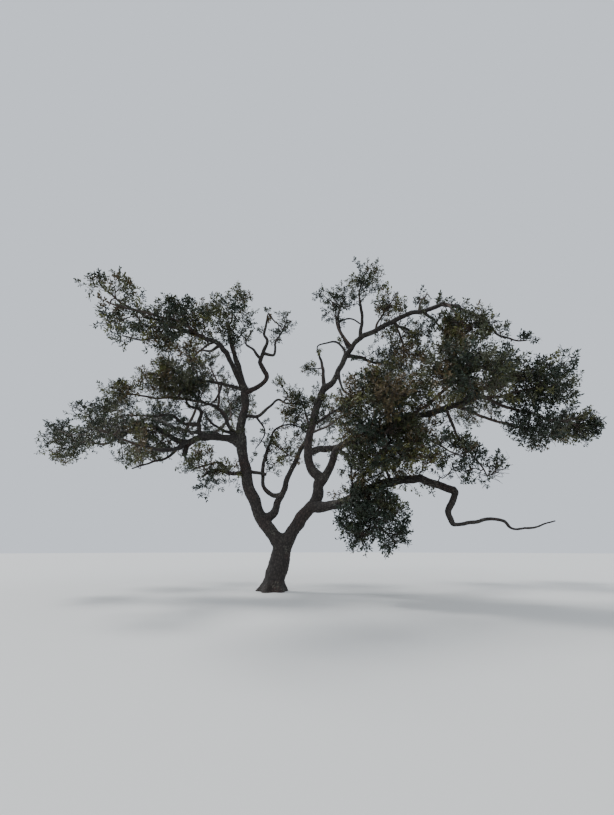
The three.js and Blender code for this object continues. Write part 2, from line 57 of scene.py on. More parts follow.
# The wood, as the solids have it. Each limb has the limb that carries it, how far along that limb
# it starts (0 to 1), its diameters at start and tip, and its course in runs of (length, bearing,
# rise). A bearing of 0 heads along +X and one of 90 along +Y, and a rise of 90 is straight up.
LIMBS = {
    "trunk": (None, 0, (0.74, 0.74), ((0.82, 0, 77), (0.7, 0, 77), (0.3, 0, 80))),
    "right_stem": ("trunk", 0.8, (0.52, 0.42), ((0.7, 0, 55), (1.39, 355, 50), (0.73, 349, 81))),
    "left_stem": (
        "trunk", 0.78, (0.5, 0.42),
        ((0.79, 176, 53), (1, 173, 52), (0.9, 163, 67), (2.37, 161, 76)),
    ),
    "left_leader": ("left_stem", 1, (0.42, 0.31), ((1.4, 312, 79), (0.7, 245, 81))),
    "west_crest_limb": ("left_leader", 0.97, (0.25, 0.13), ((1.45, 230, 60), (1.4, 264, 38))),
    "finger_limb": (
        "left_leader", 0.93, (0.24, 0.12),
        ((0.9, 241, 37), (2.1, 260, 8), (1.1, 253, -18)),
    ),
    "gap_limb": (
        "left_leader", 0.88, (0.2, 0.075),
        ((1.1, 343, 25), (0.95, 230, 65), (0.85, 325, 66), (0.4, 215, 66), (0.9, 310, 70)),
    ),
    "west_bough": (
        "left_stem", 0.985, (0.28, 0.12),
        ((1.85, 190, -2), (0.65, 198, -20), (1.85, 186, 22), (1.4, 190, -36)),
    ),
    "west_stub": ("west_bough", 0.28, (0.23, 0.17), ((0.42, 200, -44), (0.52, 245, -77))),
    "upper_west_bough": (
        "left_stem", 0.95, (0.23, 0.1),
        ((2, 147, 24), (2.6, 146, 15), (2.9, 154, 25)),
    ),
    "west_rise": ("left_leader", 0.2, (0.2, 0.09), ((0.55, 162, 26), (1.25, 161, 58), (1.25, 184, 26))),
    "low_west_limb": (
        "left_stem", 0.835, (0.15, 0.08),
        ((0.6, 205, -11), (0.95, 227, 0), (0.6, 233, -31)),
    ),
    "front_west_limb": ("west_bough", 0.4, (0.15, 0.09), ((1.7, 258, -27), (1.5, 253, -5))),
    "middle_stem": (
        "left_stem", 0.38, (0.34, 0.17),
        ((0.45, 17, 27), (0.6, 49, 67), (0.7, 46, 60), (1.28, 37, 64), (1.99, 55, 52)),
    ),
    "arch_limb": (
        "middle_stem", 0.49, (0.18, 0.1),
        ((0.42, 187, -4), (0.49, 171, 51), (0.9, 115, 76), (1.27, 48, 72)),
    ),
    "right_leader": (
        "right_stem", 1, (0.42, 0.28),
        ((0.68, 165, 54), (1.33, 87, 86), (1.28, 356, 75), (1.12, 355, 69)),
    ),
    "dead_stub": ("right_leader", 0.984, (0.15, 0.07), ((1.3, 120, 80), (0.75, 144, 77))),
    "crest_arch": (
        "right_leader", 0.976, (0.27, 0.12),
        ((0.43, 344, 31), (1.95, 317, 51), (2.5, 315, 6), (1.9, 308, -14)),
    ),
    "crest_limb": ("crest_arch", 0.55, (0.13, 0.09), ((1, 280, 68), (0.62, 251, 58))),
    "east_limb": (
        "right_stem", 0.95, (0.34, 0.16),
        ((1, 331, 52), (0.86, 293, 40), (2.39, 309, 8), (3.19, 342, 13)),
    ),
    "back_east_limb": (
        "right_leader", 0.5, (0.26, 0.12),
        ((2.41, 40, 16), (3.06, 48, 21), (2.01, 31, 29)),
    ),
    "low_east_bough": (
        "right_stem", 0.6, (0.36, 0.22),
        ((1.44, 313, 3), (2.06, 330, 17), (1.01, 336, 0), (1.09, 338, -19)),
    ),
    "east_drop": ("low_east_bough", 1, (0.205, 0.15), ((0.75, 180, -67), (0.33, 0, -78))),
    "east_trail": ("east_drop", 1, (0.12, 0.045), ((1.65, 355, 2), (0.3, 0, -45), (1.4, 0, 8))),
}

TRUNK_FLARE = {"reach": 0.3, "height": 0.28, "lobes": 5, "turn": 170, "hollow": 0.35}
TRUNK_FORK = {"low": 1.25, "high": 1.78, "reach": 0.07, "rounding": 0.22}
TRUNK_LEVEL = 0.9  # the height at which the trunk's sections have tilted from level to square
TRUNK_FOOT = 0.12  # the trunk is made this much too long below the ground, and cut off there
TRUNK_DOME = 0.3  # how far the rounded crotch of the fork stands over the trunk's end
COLLAR = {"swell": 0.22, "fade": 12}  # how much wider a limb is at its root, and how soon it narrows
BARK_SWELL = 0.02  # how far the bark's ridges stand out over the solids' flats
CROOKS = ((0.9, 0.09), (2.5, 0.05))  # pitch and reach of the bends that the solids leave out
CROOK_SEED = 5
HEAVY = ("trunk", "right_stem", "left_stem", "left_leader", "middle_stem", "right_leader")

# Lesser branches, which only the dressed tree has, told as the limbs are. They are the thin ones
# that show at the crown's edge and in its gaps.
BRANCHES = {
    "gap_west_prong": (
        "gap_limb", 0.42, (0.1, 0.05),
        ((0.6, 170, 45), (0.45, 165, 45), (0.3, 120, 75), (0.45, 165, 50)),
    ),
    "gap_west_twig": ("gap_west_prong", 0.71, (0.06, 0.03), ((0.25, 20, 55), (0.55, 15, 70))),
    "gap_east_prong": (
        "gap_limb", 0.47, (0.11, 0.05),
        ((0.55, 350, -10), (0.5, 310, 80), (0.55, 345, 55), (0.65, 330, 75)),
    ),
    "gap_east_twig": ("gap_east_prong", 0.77, (0.06, 0.03), ((0.55, 150, 40),)),
    "crest_loop": (
        "crest_arch", 0.42, (0.1, 0.04),
        ((0.5, 130, 80), (0.5, 170, 50), (0.45, 170, 5), (0.4, 170, -20), (0.4, 135, -80)),
    ),
    "under_loop": (
        "crest_arch", 0.35, (0.11, 0.05),
        ((0.7, 275, -80), (0.45, 325, -65), (0.35, 335, -40)),
    ),
    "crest_side": (
        "crest_arch", 0.43, (0.14, 0.06),
        ((0.7, 10, 5), (0.45, 20, -20), (0.4, 20, -5), (0.5, 15, 15)),
    ),
    "crest_under": ("crest_arch", 0.71, (0.1, 0.05), ((0.7, 15, -30), (0.45, 25, -25))),
    "crest_left_limb": (
        "crest_arch", 0.46, (0.13, 0.06),
        ((1.4, 160, 75), (1.15, 90, 85), (0.6, 20, 60)),
    ),
    "crest_cross": ("crest_left_limb", 0.41, (0.08, 0.05), ((0.65, 345, 5), (0.5, 335, -40))),
    "crest_left_twig": ("crest_left_limb", 0.62, (0.06, 0.03), ((0.55, 165, 60), (0.5, 175, 45))),
    "stub_twig": ("dead_stub", 0.42, (0.06, 0.03), ((0.25, 178, -10), (0.25, 170, 10))),
    "gap_side": (
        "left_leader", 0.51, (0.14, 0.05),
        ((0.65, 10, 5), (0.6, 15, 45), (0.6, 15, 40), (0.35, 15, -15), (0.6, 10, 5)),
    ),
    "gap_side_twig": ("gap_side", 0.76, (0.07, 0.03), ((0.45, 20, 65), (0.4, 155, 65), (0.3, 155, 60))),
    "gap_side_drop": (
        "gap_side", 0.18, (0.08, 0.04),
        ((0.5, 15, -55), (0.5, 35, -75), (0.65, 165, -60)),
    ),
    "link": ("left_stem", 0.84, (0.12, 0.1), ((0.35, 10, -5), (0.45, 10, -10))),
    "arch_top": (
        "arch_limb", 1, (0.1, 0.05),
        ((0.45, 35, 70), (0.45, 10, 35), (0.45, 10, 10), (0.5, 10, -20)),
    ),
    "leader_east": (
        "right_leader", 0.68, (0.11, 0.05),
        ((0.55, 335, 25), (0.65, 340, 25), (0.7, 340, 15), (0.6, 340, 10)),
    ),
    "drape": (
        "east_limb", 0.51, (0.1, 0.04),
        ((0.55, 315, -50), (0.6, 295, -60), (0.6, 265, -65), (0.55, 245, -60)),
    ),
    "drape_inner": (
        "low_east_bough", 0.3, (0.1, 0.04),
        ((0.55, 290, 40), (0.55, 300, 35), (0.6, 315, 20)),
    ),
    "arch_end": (
        "crest_arch", 0.99, (0.11, 0.04),
        (
            (0.5, 350, -20), (0.5, 345, -35), (0.6, 345, -50),
            (0.55, 345, -50), (0.55, 345, -35), (0.4, 345, -20),
        ),
    ),
    "arch_drop": (
        "crest_arch", 0.89, (0.09, 0.04),
        ((0.5, 335, -60), (0.45, 325, -65), (0.5, 335, -60)),
    ),
    "shelf_top": (
        "east_limb", 0.95, (0.11, 0.04),
        ((0.95, 350, 30), (0.95, 350, 26), (0.6, 345, 5), (0.6, 345, -18)),
    ),
    "finger_low": (
        "finger_limb", 1, (0.1, 0.04),
        ((0.7, 205, 0), (0.75, 210, -30), (0.7, 210, -25), (0.55, 215, -5)),
    ),
    "finger_tip": (
        "finger_limb", 0.98, (0.1, 0.03),
        ((1.55, 200, 13), (1.15, 205, 13), (0.8, 220, 22), (0.45, 250, 28)),
    ),
    "west_riser": (
        "west_bough", 0.23, (0.17, 0.07),
        ((0.65, 150, 75), (0.7, 65, 85), (0.65, 175, 25), (0.5, 165, 55)),
    ),
    "west_web": (
        "west_riser", 0.25, (0.14, 0.05),
        ((0.75, 190, 5), (0.55, 195, 30), (0.7, 190, -5), (1, 185, -25), (0.75, 190, -30)),
    ),
    "west_lower": (
        "west_bough", 0.36, (0.13, 0.05),
        ((0.4, 200, -25), (0.4, 210, -55), (0.5, 200, -50), (0.55, 195, -15), (0.8, 190, -20)),
    ),
    "west_lower_twig": ("west_lower", 0.37, (0.08, 0.04), ((0.65, 190, 20), (0.75, 190, 40))),
    "stem_riser": (
        "left_stem", 0.9925, (0.13, 0.05),
        ((0.9, 190, 20), (0.55, 200, 30), (0.55, 210, 50)),
    ),
    "mid_west_limb": (
        "left_leader", 0.94, (0.13, 0.05),
        ((1, 185, 15), (0.5, 190, 0), (0.75, 190, 0), (0.45, 195, -40), (0.65, 195, -60)),
    ),
    "mid_west_drop": (
        "mid_west_limb", 0.24, (0.08, 0.04),
        ((0.7, 240, -80), (0.5, 200, -55), (0.85, 185, -15)),
    ),
    "finger_under": (
        "finger_limb", 0.63, (0.1, 0.05),
        ((0.45, 165, -30), (0.5, 170, 10), (0.5, 165, -40)),
    ),
    "finger_drop": (
        "finger_limb", 0.72, (0.08, 0.04),
        ((0.5, 190, -35), (0.5, 175, -50), (0.4, 185, -60)),
    ),
    "low_west_fork": (
        "low_west_limb", 0.47, (0.09, 0.04),
        ((0.5, 205, 50), (0.75, 190, -20), (0.4, 205, -30)),
    ),
}

WOOD = LIMBS | BRANCHES

# The foliage masses, as the solids have them: the limb that carries the stem, how far along it the
# stem starts, the middle of the space, its half lengths along X, Y and Z, and how full it is.
MASSES = {
    "west_finger": ("finger_limb", 1, (-4.25, -6.25, 8.15), (0.68, 0.9, 1.2), 1.25),
    "west_top": ("finger_limb", 0.85, (-3.4, -4.5, 8.65), (1.6, 1.4, 1), 1),
    "west_crest": ("west_crest_limb", 1, (-1.75, -2.6, 10.5), (1.05, 1.4, 1.1), 1),
    "gap_tuft": ("gap_limb", 1, (0.15, -0.95, 10.85), (0.8, 0.8, 0.85), 0.6),
    "west_mid": ("west_rise", 1, (-5, 0, 8.65), (1.65, 1.6, 0.9), 1),
    "west_shoulder": ("west_rise", 0.9, (-6.9, -0.3, 7.85), (1.05, 1.15, 0.65), 1),
    "far_west": ("west_bough", 1, (-8.65, -0.5, 5.6), (1.45, 1.5, 0.95), 1.25),
    "front_west": ("front_west_limb", 1, (-5.2, -4.2, 5), (1.35, 1.6, 0.9), 1),
    "back_far_west": ("upper_west_bough", 0.97, (-9.3, 3.4, 8), (1.7, 1.7, 1.05), 0.8),
    "inner_west": ("west_bough", 0.7, (-5.1, -0.3, 5.65), (1.5, 1.3, 0.9), 0.8),
    "upper_inner_west": ("west_rise", 0.7, (-3.4, 1.3, 9.75), (1.4, 1.4, 1.15), 1),
    "back_west_top": ("upper_west_bough", 0.62, (-5.3, 4.5, 11.4), (2, 1.8, 1.3), 0.8),
    "back_west": ("upper_west_bough", 0.9, (-8, 6.2, 9), (2, 1.7, 1.2), 0.8),
    "back_mid": ("upper_west_bough", 0.35, (-3.3, 5.7, 9.7), (1.8, 1.8, 1.2), 0.8),
    "low_west": ("low_west_limb", 1, (-2.4, -1.75, 4.25), (1, 1.1, 0.85), 0.7),
    "crest": ("crest_limb", 1, (3.75, -2.2, 12.45), (0.8, 1, 1), 1.25),
    "crest_left": ("crest_arch", 0.48, (2.45, -1.6, 11.5), (0.6, 0.75, 0.9), 1),
    "crest_right": ("crest_arch", 0.62, (4.7, -2.35, 10.95), (0.9, 1.2, 0.85), 1),
    "crest_tuft": ("crest_arch", 0.85, (5.95, -3.2, 10.75), (0.56, 0.62, 0.56), 1),
    "east_top": ("crest_arch", 1, (6.6, -4.6, 8.5), (1.15, 1.3, 0.75), 1.25),
    "inner_crest": ("crest_arch", 0.72, (5.45, -1, 9.35), (1.2, 1.3, 1.05), 1),
    "mid_east": ("east_limb", 0.66, (3.9, -3.7, 6.35), (1.6, 1.6, 1.05), 1),
    "front_east": ("east_limb", 0.805, (5.95, -5.5, 6.35), (1.25, 1.7, 1.1), 1),
    "east_shelf": ("east_limb", 0.978, (9.05, -3.7, 6.65), (1.45, 1.5, 0.85), 1),
    "far_east": ("east_limb", 1, (11.05, -2.45, 5.75), (0.95, 1.1, 0.85), 1.25),
    "low_shelf": ("east_limb", 0.94, (9, -3.3, 5.25), (1.15, 1.3, 0.75), 1),
    "under_east": ("east_limb", 0.8, (5.6, -4.2, 4.4), (1.05, 1.2, 0.65), 1),
    "inner_low_east": ("low_east_bough", 0.52, (3.95, -3.4, 4.75), (1.6, 1.5, 1.05), 1),
    "low_east": ("east_limb", 0.92, (6.85, -3.6, 4), (1, 1.2, 0.85), 1),
    "hanging": ("low_east_bough", 0.4, (3.5, -3, 2.35), (1.25, 1.2, 1.2), 1.25),
    "inner_east": ("right_leader", 0.65, (1.15, 0.9, 7.8), (1.25, 1.1, 1), 0.8),
    "arch_ball": ("arch_limb", 1, (0.3, 1.05, 5.6), (0.85, 0.9, 0.9), 0.7),
    "back_east_top": ("back_east_limb", 0.8, (6.3, 3.9, 10.3), (1.9, 1.8, 1.25), 0.8),
    "back_far_east": ("back_east_limb", 1, (9.9, 3, 8.75), (1.9, 1.8, 1.2), 0.8),
    "back_east": ("back_east_limb", 0.94, (7.7, 6.5, 8.7), (2.1, 1.6, 1.2), 0.8),
    "back_inner": ("middle_stem", 1, (3.3, 6.1, 9), (1.7, 1.7, 1.15), 0.8),
}

# The source's own rule for stems and twigs
GOLDEN_TURN = math.pi * (3 - math.sqrt(5))
UP = Vector((0, 0, 1))
CROWN_MIDDLE = Vector((0.9, 0, 6.5))
CROWN_LIFT = 0.5
STEM_GIRTH = (0.08, 0.016, 0.034)  # at its root, as much more for each metre, and at its end
STEM_CROOK = 0.1
STEM_SEED = 1000
FOLIAGE_SEED = 2000
TWIG_HUB = 0.5
TWIG_JITTER = 0.15
TWIG_SPAN = (0.5, 1)
TWIG_GIRTH = (0.05, 0.024)
TWIG_BEND = 0.09
SPRAYS_PER_SKIN = 1.34
SPRAY_POWER = 0.75
SPRAYS_ON_TWIG = 3

# What the solids have no room for: more sprays to a twig, side shoots on the sprays, sprigs on
# the shoots, and leaves. Shares are of the way along what carries them, leans are in degrees
# from it at its root and at its tip, and lengths and girths are in metres.
SPRAY_ROOTS = (0.2, 0.32, 0.44, 0.56, 0.68, 0.8, 0.9, 1)
LUSH_ROOTS = (0.26, 0.38, 0.5, 0.62, 0.74, 0.85, 0.96)  # also, where the crown is thick
LUSH = (
    "inner_low_east", "hanging", "mid_east", "inner_crest", "low_east", "front_east", "east_top",
    "east_shelf", "far_east", "west_mid", "west_shoulder", "under_east", "low_shelf",
)
SPRAY_LEANS = (76, 14)
SPRAY_JITTER = 16  # degrees
SPRAY_LIFT = 0.12  # how much it turns up toward the light, for each 1 ahead
SPRAY_TRIES = 6
SPRAY_LENGTH = (0.3, 1.35)
SPRAY_GIRTH = (0.024, 0.01)
SPRAY_BEND = 0.08
SPRAY_SHARE = (0.68, 0.92)  # of the way to the skin of its space
SIDE_TWIGS = {
    "spacing": 0.5, "from": 0.22, "leans": (35, 72), "lift": 0.25,
    "length": (0.55, 1.05), "girth": (0.045, 0.022),
}
SIDE_SPRAYS = ((0.35, 0.55, 0.75, 0.9, 1), 0.5)  # their places on a side twig, and their length
SIDE_SLACK = 1.3  # how far out of the spaces a side twig's leaves may stand
TUFT_LEANS = (35, 75)
TUFT_END_LEANS = (5, 60)
TUFT_LIFT = 0.15
TUFT_VARIETY = (0.75, 1.15)  # shortest and longest sprays of a tuft, as shares of its reach


def spread(first, last, count):
    """A few places that lie evenly from the first to the last, to the nearest hundredth."""
    return tuple(round(first + (last - first) * i / (count - 1), 2) for i in range(count))


# Tufts where the photograph shows leaves outside the masses, or thicker ones inside them: the
# branch, limb or stem that carries the tuft, the places of its sprays on it, and their reach
TUFTS = (
    ("gap_side_twig", (0.7, 0.9, 1, 1, 1), 0.24),
    ("gap_side_drop", (0.3, 0.6, 0.9, 1), 0.3),
    ("gap_side", (0.9, 1), 0.3),
    ("stub_twig", (0.3, 0.5, 0.7, 0.85, 1, 1, 1), 0.28),
    ("crest_loop", (0.15, 0.85), 0.18),
    ("crest_left_limb", (0.12, 0.3, 0.8, 0.86, 0.92, 0.96, 1, 1), 0.42),
    ("crest_left_twig", (0.4, 0.6, 0.8, 0.9, 1, 1), 0.35),
    ("under_loop", (0.3, 0.6, 1), 0.2),
    ("crest_side", (0.1, 0.22, 0.34), 0.3),
    ("crest_side", (0.5, 0.7, 0.9, 1), 0.45),
    ("crest_under", (0.2, 0.35, 0.5, 0.6, 0.7, 0.8, 0.9, 1), 0.45),
    ("crest_arch", spread(0.66, 0.98, 9), 0.3),
    ("arch_end", spread(0.08, 0.4, 5), 0.3),
    ("arch_end", spread(0.46, 0.7, 7), 0.36),
    ("arch_end", (0.78, 0.86, 0.94, 1), 0.2),
    ("arch_drop", (*spread(0.3, 0.9, 5), 1, 1), 0.42),
    ("stem of east_top", (0.5, 0.7, 0.9), 0.5),
    ("shelf_top", spread(0.3, 0.62, 5), 0.3),
    ("shelf_top", (*spread(0.7, 1, 6), 1, 1), 0.45),
    ("stem of east_shelf", spread(0.2, 0.65, 4), 0.5),
    ("east_limb", spread(0.8, 0.98, 7), 0.55),
    ("stem of low_shelf", (0.06, 0.12, 0.2, 0.3, 0.4, 0.5, 0.6), 0.5),
    ("stem of low_east", (0.15, 0.35, 0.55), 0.35),
    ("stem of hanging", spread(0.1, 0.8, 8), 0.75),
    ("stem of back_west_top", spread(0.2, 0.5, 4), 0.8),
    ("stem of back_west", spread(0.2, 0.8, 5), 0.8),
    ("stem of back_mid", spread(0.2, 0.8, 7), 0.8),
    ("stem of back_far_west", spread(0.2, 0.8, 4), 0.7),
    ("stem of back_east_top", spread(0.2, 0.8, 7), 0.8),
    ("stem of back_far_east", spread(0.15, 0.75, 7), 0.8),
    ("stem of back_east", spread(0.2, 0.8, 5), 0.8),
    ("stem of back_inner", spread(0.15, 0.75, 7), 0.8),
    ("back_east_limb", (*spread(0.06, 0.18, 4), 0.24, 0.3, 0.36), 0.5),
    ("back_east_limb", spread(0.4, 1, 11), 0.7),
    ("arch_top", (*spread(0.2, 0.8, 5), 0.9, 1, 1), 0.3),
    ("arch_limb", spread(0.7, 1, 4), 0.3),
    ("low_east_bough", spread(0.28, 0.55, 10), 0.65),
    ("low_east_bough", spread(0.6, 0.78, 4), 0.5),
    ("east_limb", spread(0.5, 0.7, 6), 0.6),
    ("right_leader", spread(0.56, 0.84, 8), 0.45),
    ("leader_east", (*spread(0.1, 0.6, 6), 0.68, 0.76, 0.84, 0.92, 1, 1), 0.62),
    ("right_leader", spread(0.8, 0.9, 6), 0.35),
    ("right_leader", (0.34, 0.42, 0.5, 0.54), 0.45),
    ("drape", (*spread(0.15, 0.95, 9), 1, 1), 0.5),
    ("drape_inner", (*spread(0.2, 0.8, 5), 0.9, 1, 1), 0.5),
    ("finger_low", (*spread(0.2, 1, 9), 1), 0.45),
    ("finger_tip", (*spread(0.3, 0.6, 4), 0.68, 0.76), 0.5),
    ("finger_tip", spread(0.82, 1, 4), 0.18),
    ("gap_east_prong", (*spread(0.45, 0.9, 4), 1), 0.26),
    ("gap_limb", (0.8, 0.9, 1), 0.22),
    ("low_west_limb", spread(0.1, 0.28, 4), 0.75),
    ("low_west_limb", spread(0.4, 0.8, 5), 0.45),
    ("left_leader", (0.06, 0.14, 0.3, 0.5, 0.75), 0.3),
    ("left_stem", (0.8, 0.9, 0.97), 0.3),
    ("mid_west_limb", (0.12, 0.2, 0.28), 0.55),
    ("mid_west_limb", (*spread(0.36, 0.72, 7), 0.8, 0.9, 1, 1), 0.65),
    ("west_web", spread(0.1, 0.58, 7), 0.5),
    ("upper_west_bough", (*spread(0.3, 0.5, 6), 0.6, 0.68, 0.76, 0.84, 0.92), 0.7),
    ("finger_drop", (0.3, 0.5, 0.7, 0.85, 1, 1), 0.45),
    ("west_riser", (0.3, 0.6, 0.9), 0.4),
    ("west_bough", (0.1, 0.15, 0.2), 0.5),
    ("stem_riser", (0.5, 0.8, 1), 0.4),
)
# What stays bare, apart from its tufts
NO_SIDE_TWIGS = HEAVY + (
    "gap_limb", "gap_west_prong", "gap_west_twig", "gap_east_prong", "gap_east_twig", "gap_side",
    "gap_side_twig", "stub_twig", "link", "finger_tip", "arch_end", "dead_stub", "east_drop",
    "east_trail", "west_stub",
)
SHOOTS_PER_METRE = 5.5
SHOOT_LEANS = (70, 30)
SHOOT_END_LEAN = 5
SHOOT_JITTER = 14
SHOOT_LIFT = 0.2
SHOOT_BOW = 0.07
SHOOT_LENGTH = (0.46, 0.28)
SHOOT_GIRTH = (0.011, 0.006)
FULL_SPRAY = 0.8  # shorter sprays have shorter shoots
SPRIGS_ON_SHOOT = 5
SPRIG_LEANS = (60, 15)
SPRIG_JITTER = 12
SPRIG_LIFT = 0.15
SPRIG_LENGTH = 0.13
SPRIG_GIRTH = 0.005
VARIETY = (0.7, 1.2)  # shortest and longest shoots and sprigs, as shares of the usual length
LEAVES_ON_SPRIG = 4
LEAF_LENGTH = (0.07, 0.12)
LEAF_WIDTH = 0.46  # as a share of its length
LEAF_FOLD = 0.35  # how far its edges stand over the midrib, as a share of the half width
LEAF_LEANS = (25, 70)
LEAF_TURN = 0.8  # how far leaves turn from facing up
SPACE_SLACK = 1.02  # how far out of its space a mass's leaves may stand
# Masses whose leaves keep to a share of their space, where the crown's outline is narrower
TRIMMED = {
    "far_west": 0.92, "crest": 0.97, "west_finger": 0.88, "gap_tuft": 0.85, "east_top": 0.82,
    "far_east": 0.88, "crest_right": 0.82, "west_top": 0.95, "front_west": 0.92,
    "west_shoulder": 0.92, "low_shelf": 0.92, "under_east": 0.85, "low_east": 0.76,
    "low_west": 0.85, "west_crest": 0.95, "crest_tuft": 0.8,
}
# Masses that keep only a share of their sprays, where the crown is open
THINNED = {
    "upper_inner_west": 0.1, "gap_tuft": 0.55, "west_finger": 0.8, "arch_ball": 0.75,
    "inner_crest": 0.65, "inner_west": 0.5, "crest_tuft": 0.6, "crest_left": 0.6,
    "low_shelf": 0.85, "back_west_top": 0.4, "back_west": 0.6, "front_west": 0.85,
    "low_east": 0.5,
}
GROWTH_SEED = 31
BRANCH_MESH = {"stems": (24, 8), "twigs": (8, 5), "sprays": (6, 4)}  # rings and sides of each kind
WOOD_SAMPLES = 60  # on each limb, to keep leaves out of the wood
WOOD_ROOM = 0.02


def lesser_wood(wood, east):
    """The limbs or branches on one side. The east side starts with the middle stem."""
    east_limbs = list(LIMBS)[list(LIMBS).index("middle_stem"):]
    names = []
    for name in wood:
        limb = name
        while limb in BRANCHES:
            limb = BRANCHES[limb][0]
        if name not in HEAVY and (limb in east_limbs) == east:
            names.append(name)
    return names


# Bark in pieces: name, the limbs that it covers, the grain of its mesh, and how often it is smoothed
BARK_PIECES = (
    ("trunk_bark", HEAVY, 0.024, 26),
    ("west_bark", lesser_wood(LIMBS, east=False), 0.019, 1),
    ("east_bark", lesser_wood(LIMBS, east=True), 0.0225, 1),
    ("west_branch_bark", lesser_wood(BRANCHES, east=False), 0.018, 0),
    ("east_branch_bark", lesser_wood(BRANCHES, east=True), 0.018, 0),
)
TRUNK_SECTIONS = (0.04, 72)  # their spacing and their sides
LIMB_SPACING = (0.5, 0.03)  # as a share of the girth at the tip, and at least
LIMB_SIDES = (16, 28)  # on thin limbs and on thick ones
THICK = 0.3
BARK_PLATE = 0.085  # width of the bark's plates
BARK_STRETCH = 1.7  # how much longer than wide they are
BARK_DEPTH = 0.014
BARK_FURROW = (0.02, 0.42)  # where a furrow's floor ends and where a plate's level top begins
BARK_SHIFT = 7.3  # sets the plates of one limb apart from those of the next
SLAB_PITCH = 4.1
SLAB_SHARE = 0.7
ROUGH_RADIUS = 0.3  # wood thinner than this has shallower bark
LUMP_PITCH = 1.6  # of the swellings of the wood under the bark
LUMP_REACH = 0.16  # how far they stand out, as a share of the wood's radius
CROWN_SPARE = 0.012  # how far out of the solids' box leaves may stand, as a share of its size
CROWN_TOP_ROOM = 0.05  # how far under the box's top they stay
FLOOR_RADIUS = 150
# Soft lamps far off: name, bearing and rise of where it stands, strength, and width in degrees
LAMPS = (
    ("key", 150, 52, 2.6, 12),
    ("fill", 250, 35, 0.8, 30),
)

# Leaf tints, from dark and cool to light and warm, dealt out by spray: name, colour as seen on a
# screen, and share.
# Besides the leaves' own spread of colour, the dark end is painted shade and the light end, sunlit, is
# painted sunlight.
TINTS = (
    ("deep", (0.135, 0.170, 0.120), 0.19),
    ("blue_green", (0.150, 0.195, 0.155), 0.16),
    ("olive", (0.205, 0.230, 0.135), 0.20),
    ("grey_olive", (0.275, 0.285, 0.210), 0.18),
    ("sunlit", (0.335, 0.340, 0.190), 0.15),
    ("tan", (0.320, 0.275, 0.185), 0.12),
)
# How far a mass's leaves lean to the light, warm tints, or to the dark, cool ones where it is below 0:
# painted light on some masses and painted shade on others, along with a warmer or cooler hue.
LIGHT_SHADE_AND_WARMTH = {
    "crest": 0.2, "crest_right": 0.25, "inner_crest": 0.4, "mid_east": 0.3, "east_top": 0.15,
    "west_shoulder": 0.25, "west_mid": 0.15, "far_west": -0.2, "front_west": -0.3,
    "inner_west": -0.2, "back_west": -0.15, "low_west": 0.1, "hanging": -0.5, "low_east": -0.2,
    "far_east": -0.25, "east_shelf": -0.2, "low_shelf": -0.15,
}
TINT_PITCH = 0.5  # how close warm and cool patches lie
TINT_SCATTER = 0.3

PHOTO_SIZE = (614, 815)
PHOTO_FOCUS = 377  # focal length in the photograph's pixels
PHOTO_TILT = 20.5  # degrees that its camera looks up
EYE = Vector((1.3, -15.6, 1.5))


def smoothstep(value, low, high):
    share = min(max((value - low) / (high - low), 0.0), 1.0)
    return share * share * (3 - 2 * share)


def between(ends, share):
    return ends[0] + (ends[1] - ends[0]) * share


def lifted(ahead, lift):
    """A direction turned up a little, toward the light."""
    return (ahead + lift * UP).normalized()


def chance_from(seed):
    """The source's seeded run of numbers from 0 to 1."""
    state = seed
    while True:
        state = (state * 1664525 + 1013904223) % 4294967296
        yield state / 4294967296


def any_direction(chance):
    z = 2 * next(chance) - 1
    turn = 2 * math.pi * next(chance)
    flat = math.sqrt(1 - z * z)
    return Vector((flat * math.cos(turn), flat * math.sin(turn), z))


def even_direction(index, count):
    z = 1 - (2 * index + 1) / count
    turn = index * GOLDEN_TURN
    flat = math.sqrt(1 - z * z)
    return Vector((flat * math.cos(turn), flat * math.sin(turn), z))


def run_vector(length, bearing, rise):
    turn = math.radians(bearing)
    climb = math.radians(rise)
    flat = math.cos(climb)
    return length * Vector((flat * math.cos(turn), flat * math.sin(turn), math.sin(climb)))


def crook(point):
    """How far growth has pushed the wood aside at a point."""
    return sum((noise.noise_vector(point * pitch) * reach for pitch, reach in CROOKS), Vector())


class Course:
    """The solids' smooth curve through a few points, with crooks added along it."""

    def __init__(self, points, crooked=1.0):
        self.points = [2 * points[0] - points[1], *points, 2 * points[-1] - points[-2]]
        self.runs = len(points) - 1
        self.crooked = crooked

    def smooth(self, share):
        place = min(max(float(share), 0.0), 1.0) * self.runs
        run = min(int(place), self.runs - 1)
        p0, p1, p2, p3 = self.points[run:run + 4]
        t = place - run
        gap0, gap1, gap2 = ((b - a).length ** 0.5 for a, b in ((p0, p1), (p1, p2), (p2, p3)))
        leave = (p1 - p0) / gap0 - (p2 - p0) / (gap0 + gap1) + (p2 - p1) / gap1
        arrive = (p2 - p1) / gap1 - (p3 - p1) / (gap1 + gap2) + (p3 - p2) / gap2
        leave *= gap1
        arrive *= gap1
        bend = 3 * (p2 - p1) - 2 * leave - arrive
        twist = 2 * (p1 - p2) + leave + arrive
        return p1 + t * leave + t * t * bend + t * t * t * twist

    def at(self, share):
        point = self.smooth(share)
        return point + self.crooked * crook(point)

    def end_ahead(self):
        return (self.smooth(1) - self.smooth(0.999)).normalized()

    def ahead(self, share):
        return (self.at(min(share + 0.001, 1)) - self.at(max(share - 0.001, 0))).normalized()

    def shares_every(self, spacing):
        """Shares of the course that lie evenly along its length, each with its length so far."""
        fine = np.linspace(0, 1, 40 * self.runs + 1)
        points = np.array([self.at(share) for share in fine])
        lengths = np.concatenate([[0], np.cumsum(np.linalg.norm(np.diff(points, axis=0), axis=1))])
        count = max(3, math.ceil(lengths[-1] / spacing))
        even = np.linspace(0, lengths[-1], count + 1)
        return list(zip(np.interp(even, lengths, fine).tolist(), even.tolist()))


def runs_from(start, course):
    points = [start]
    for run in course:
        points.append(points[-1] + run_vector(*run))
    return points


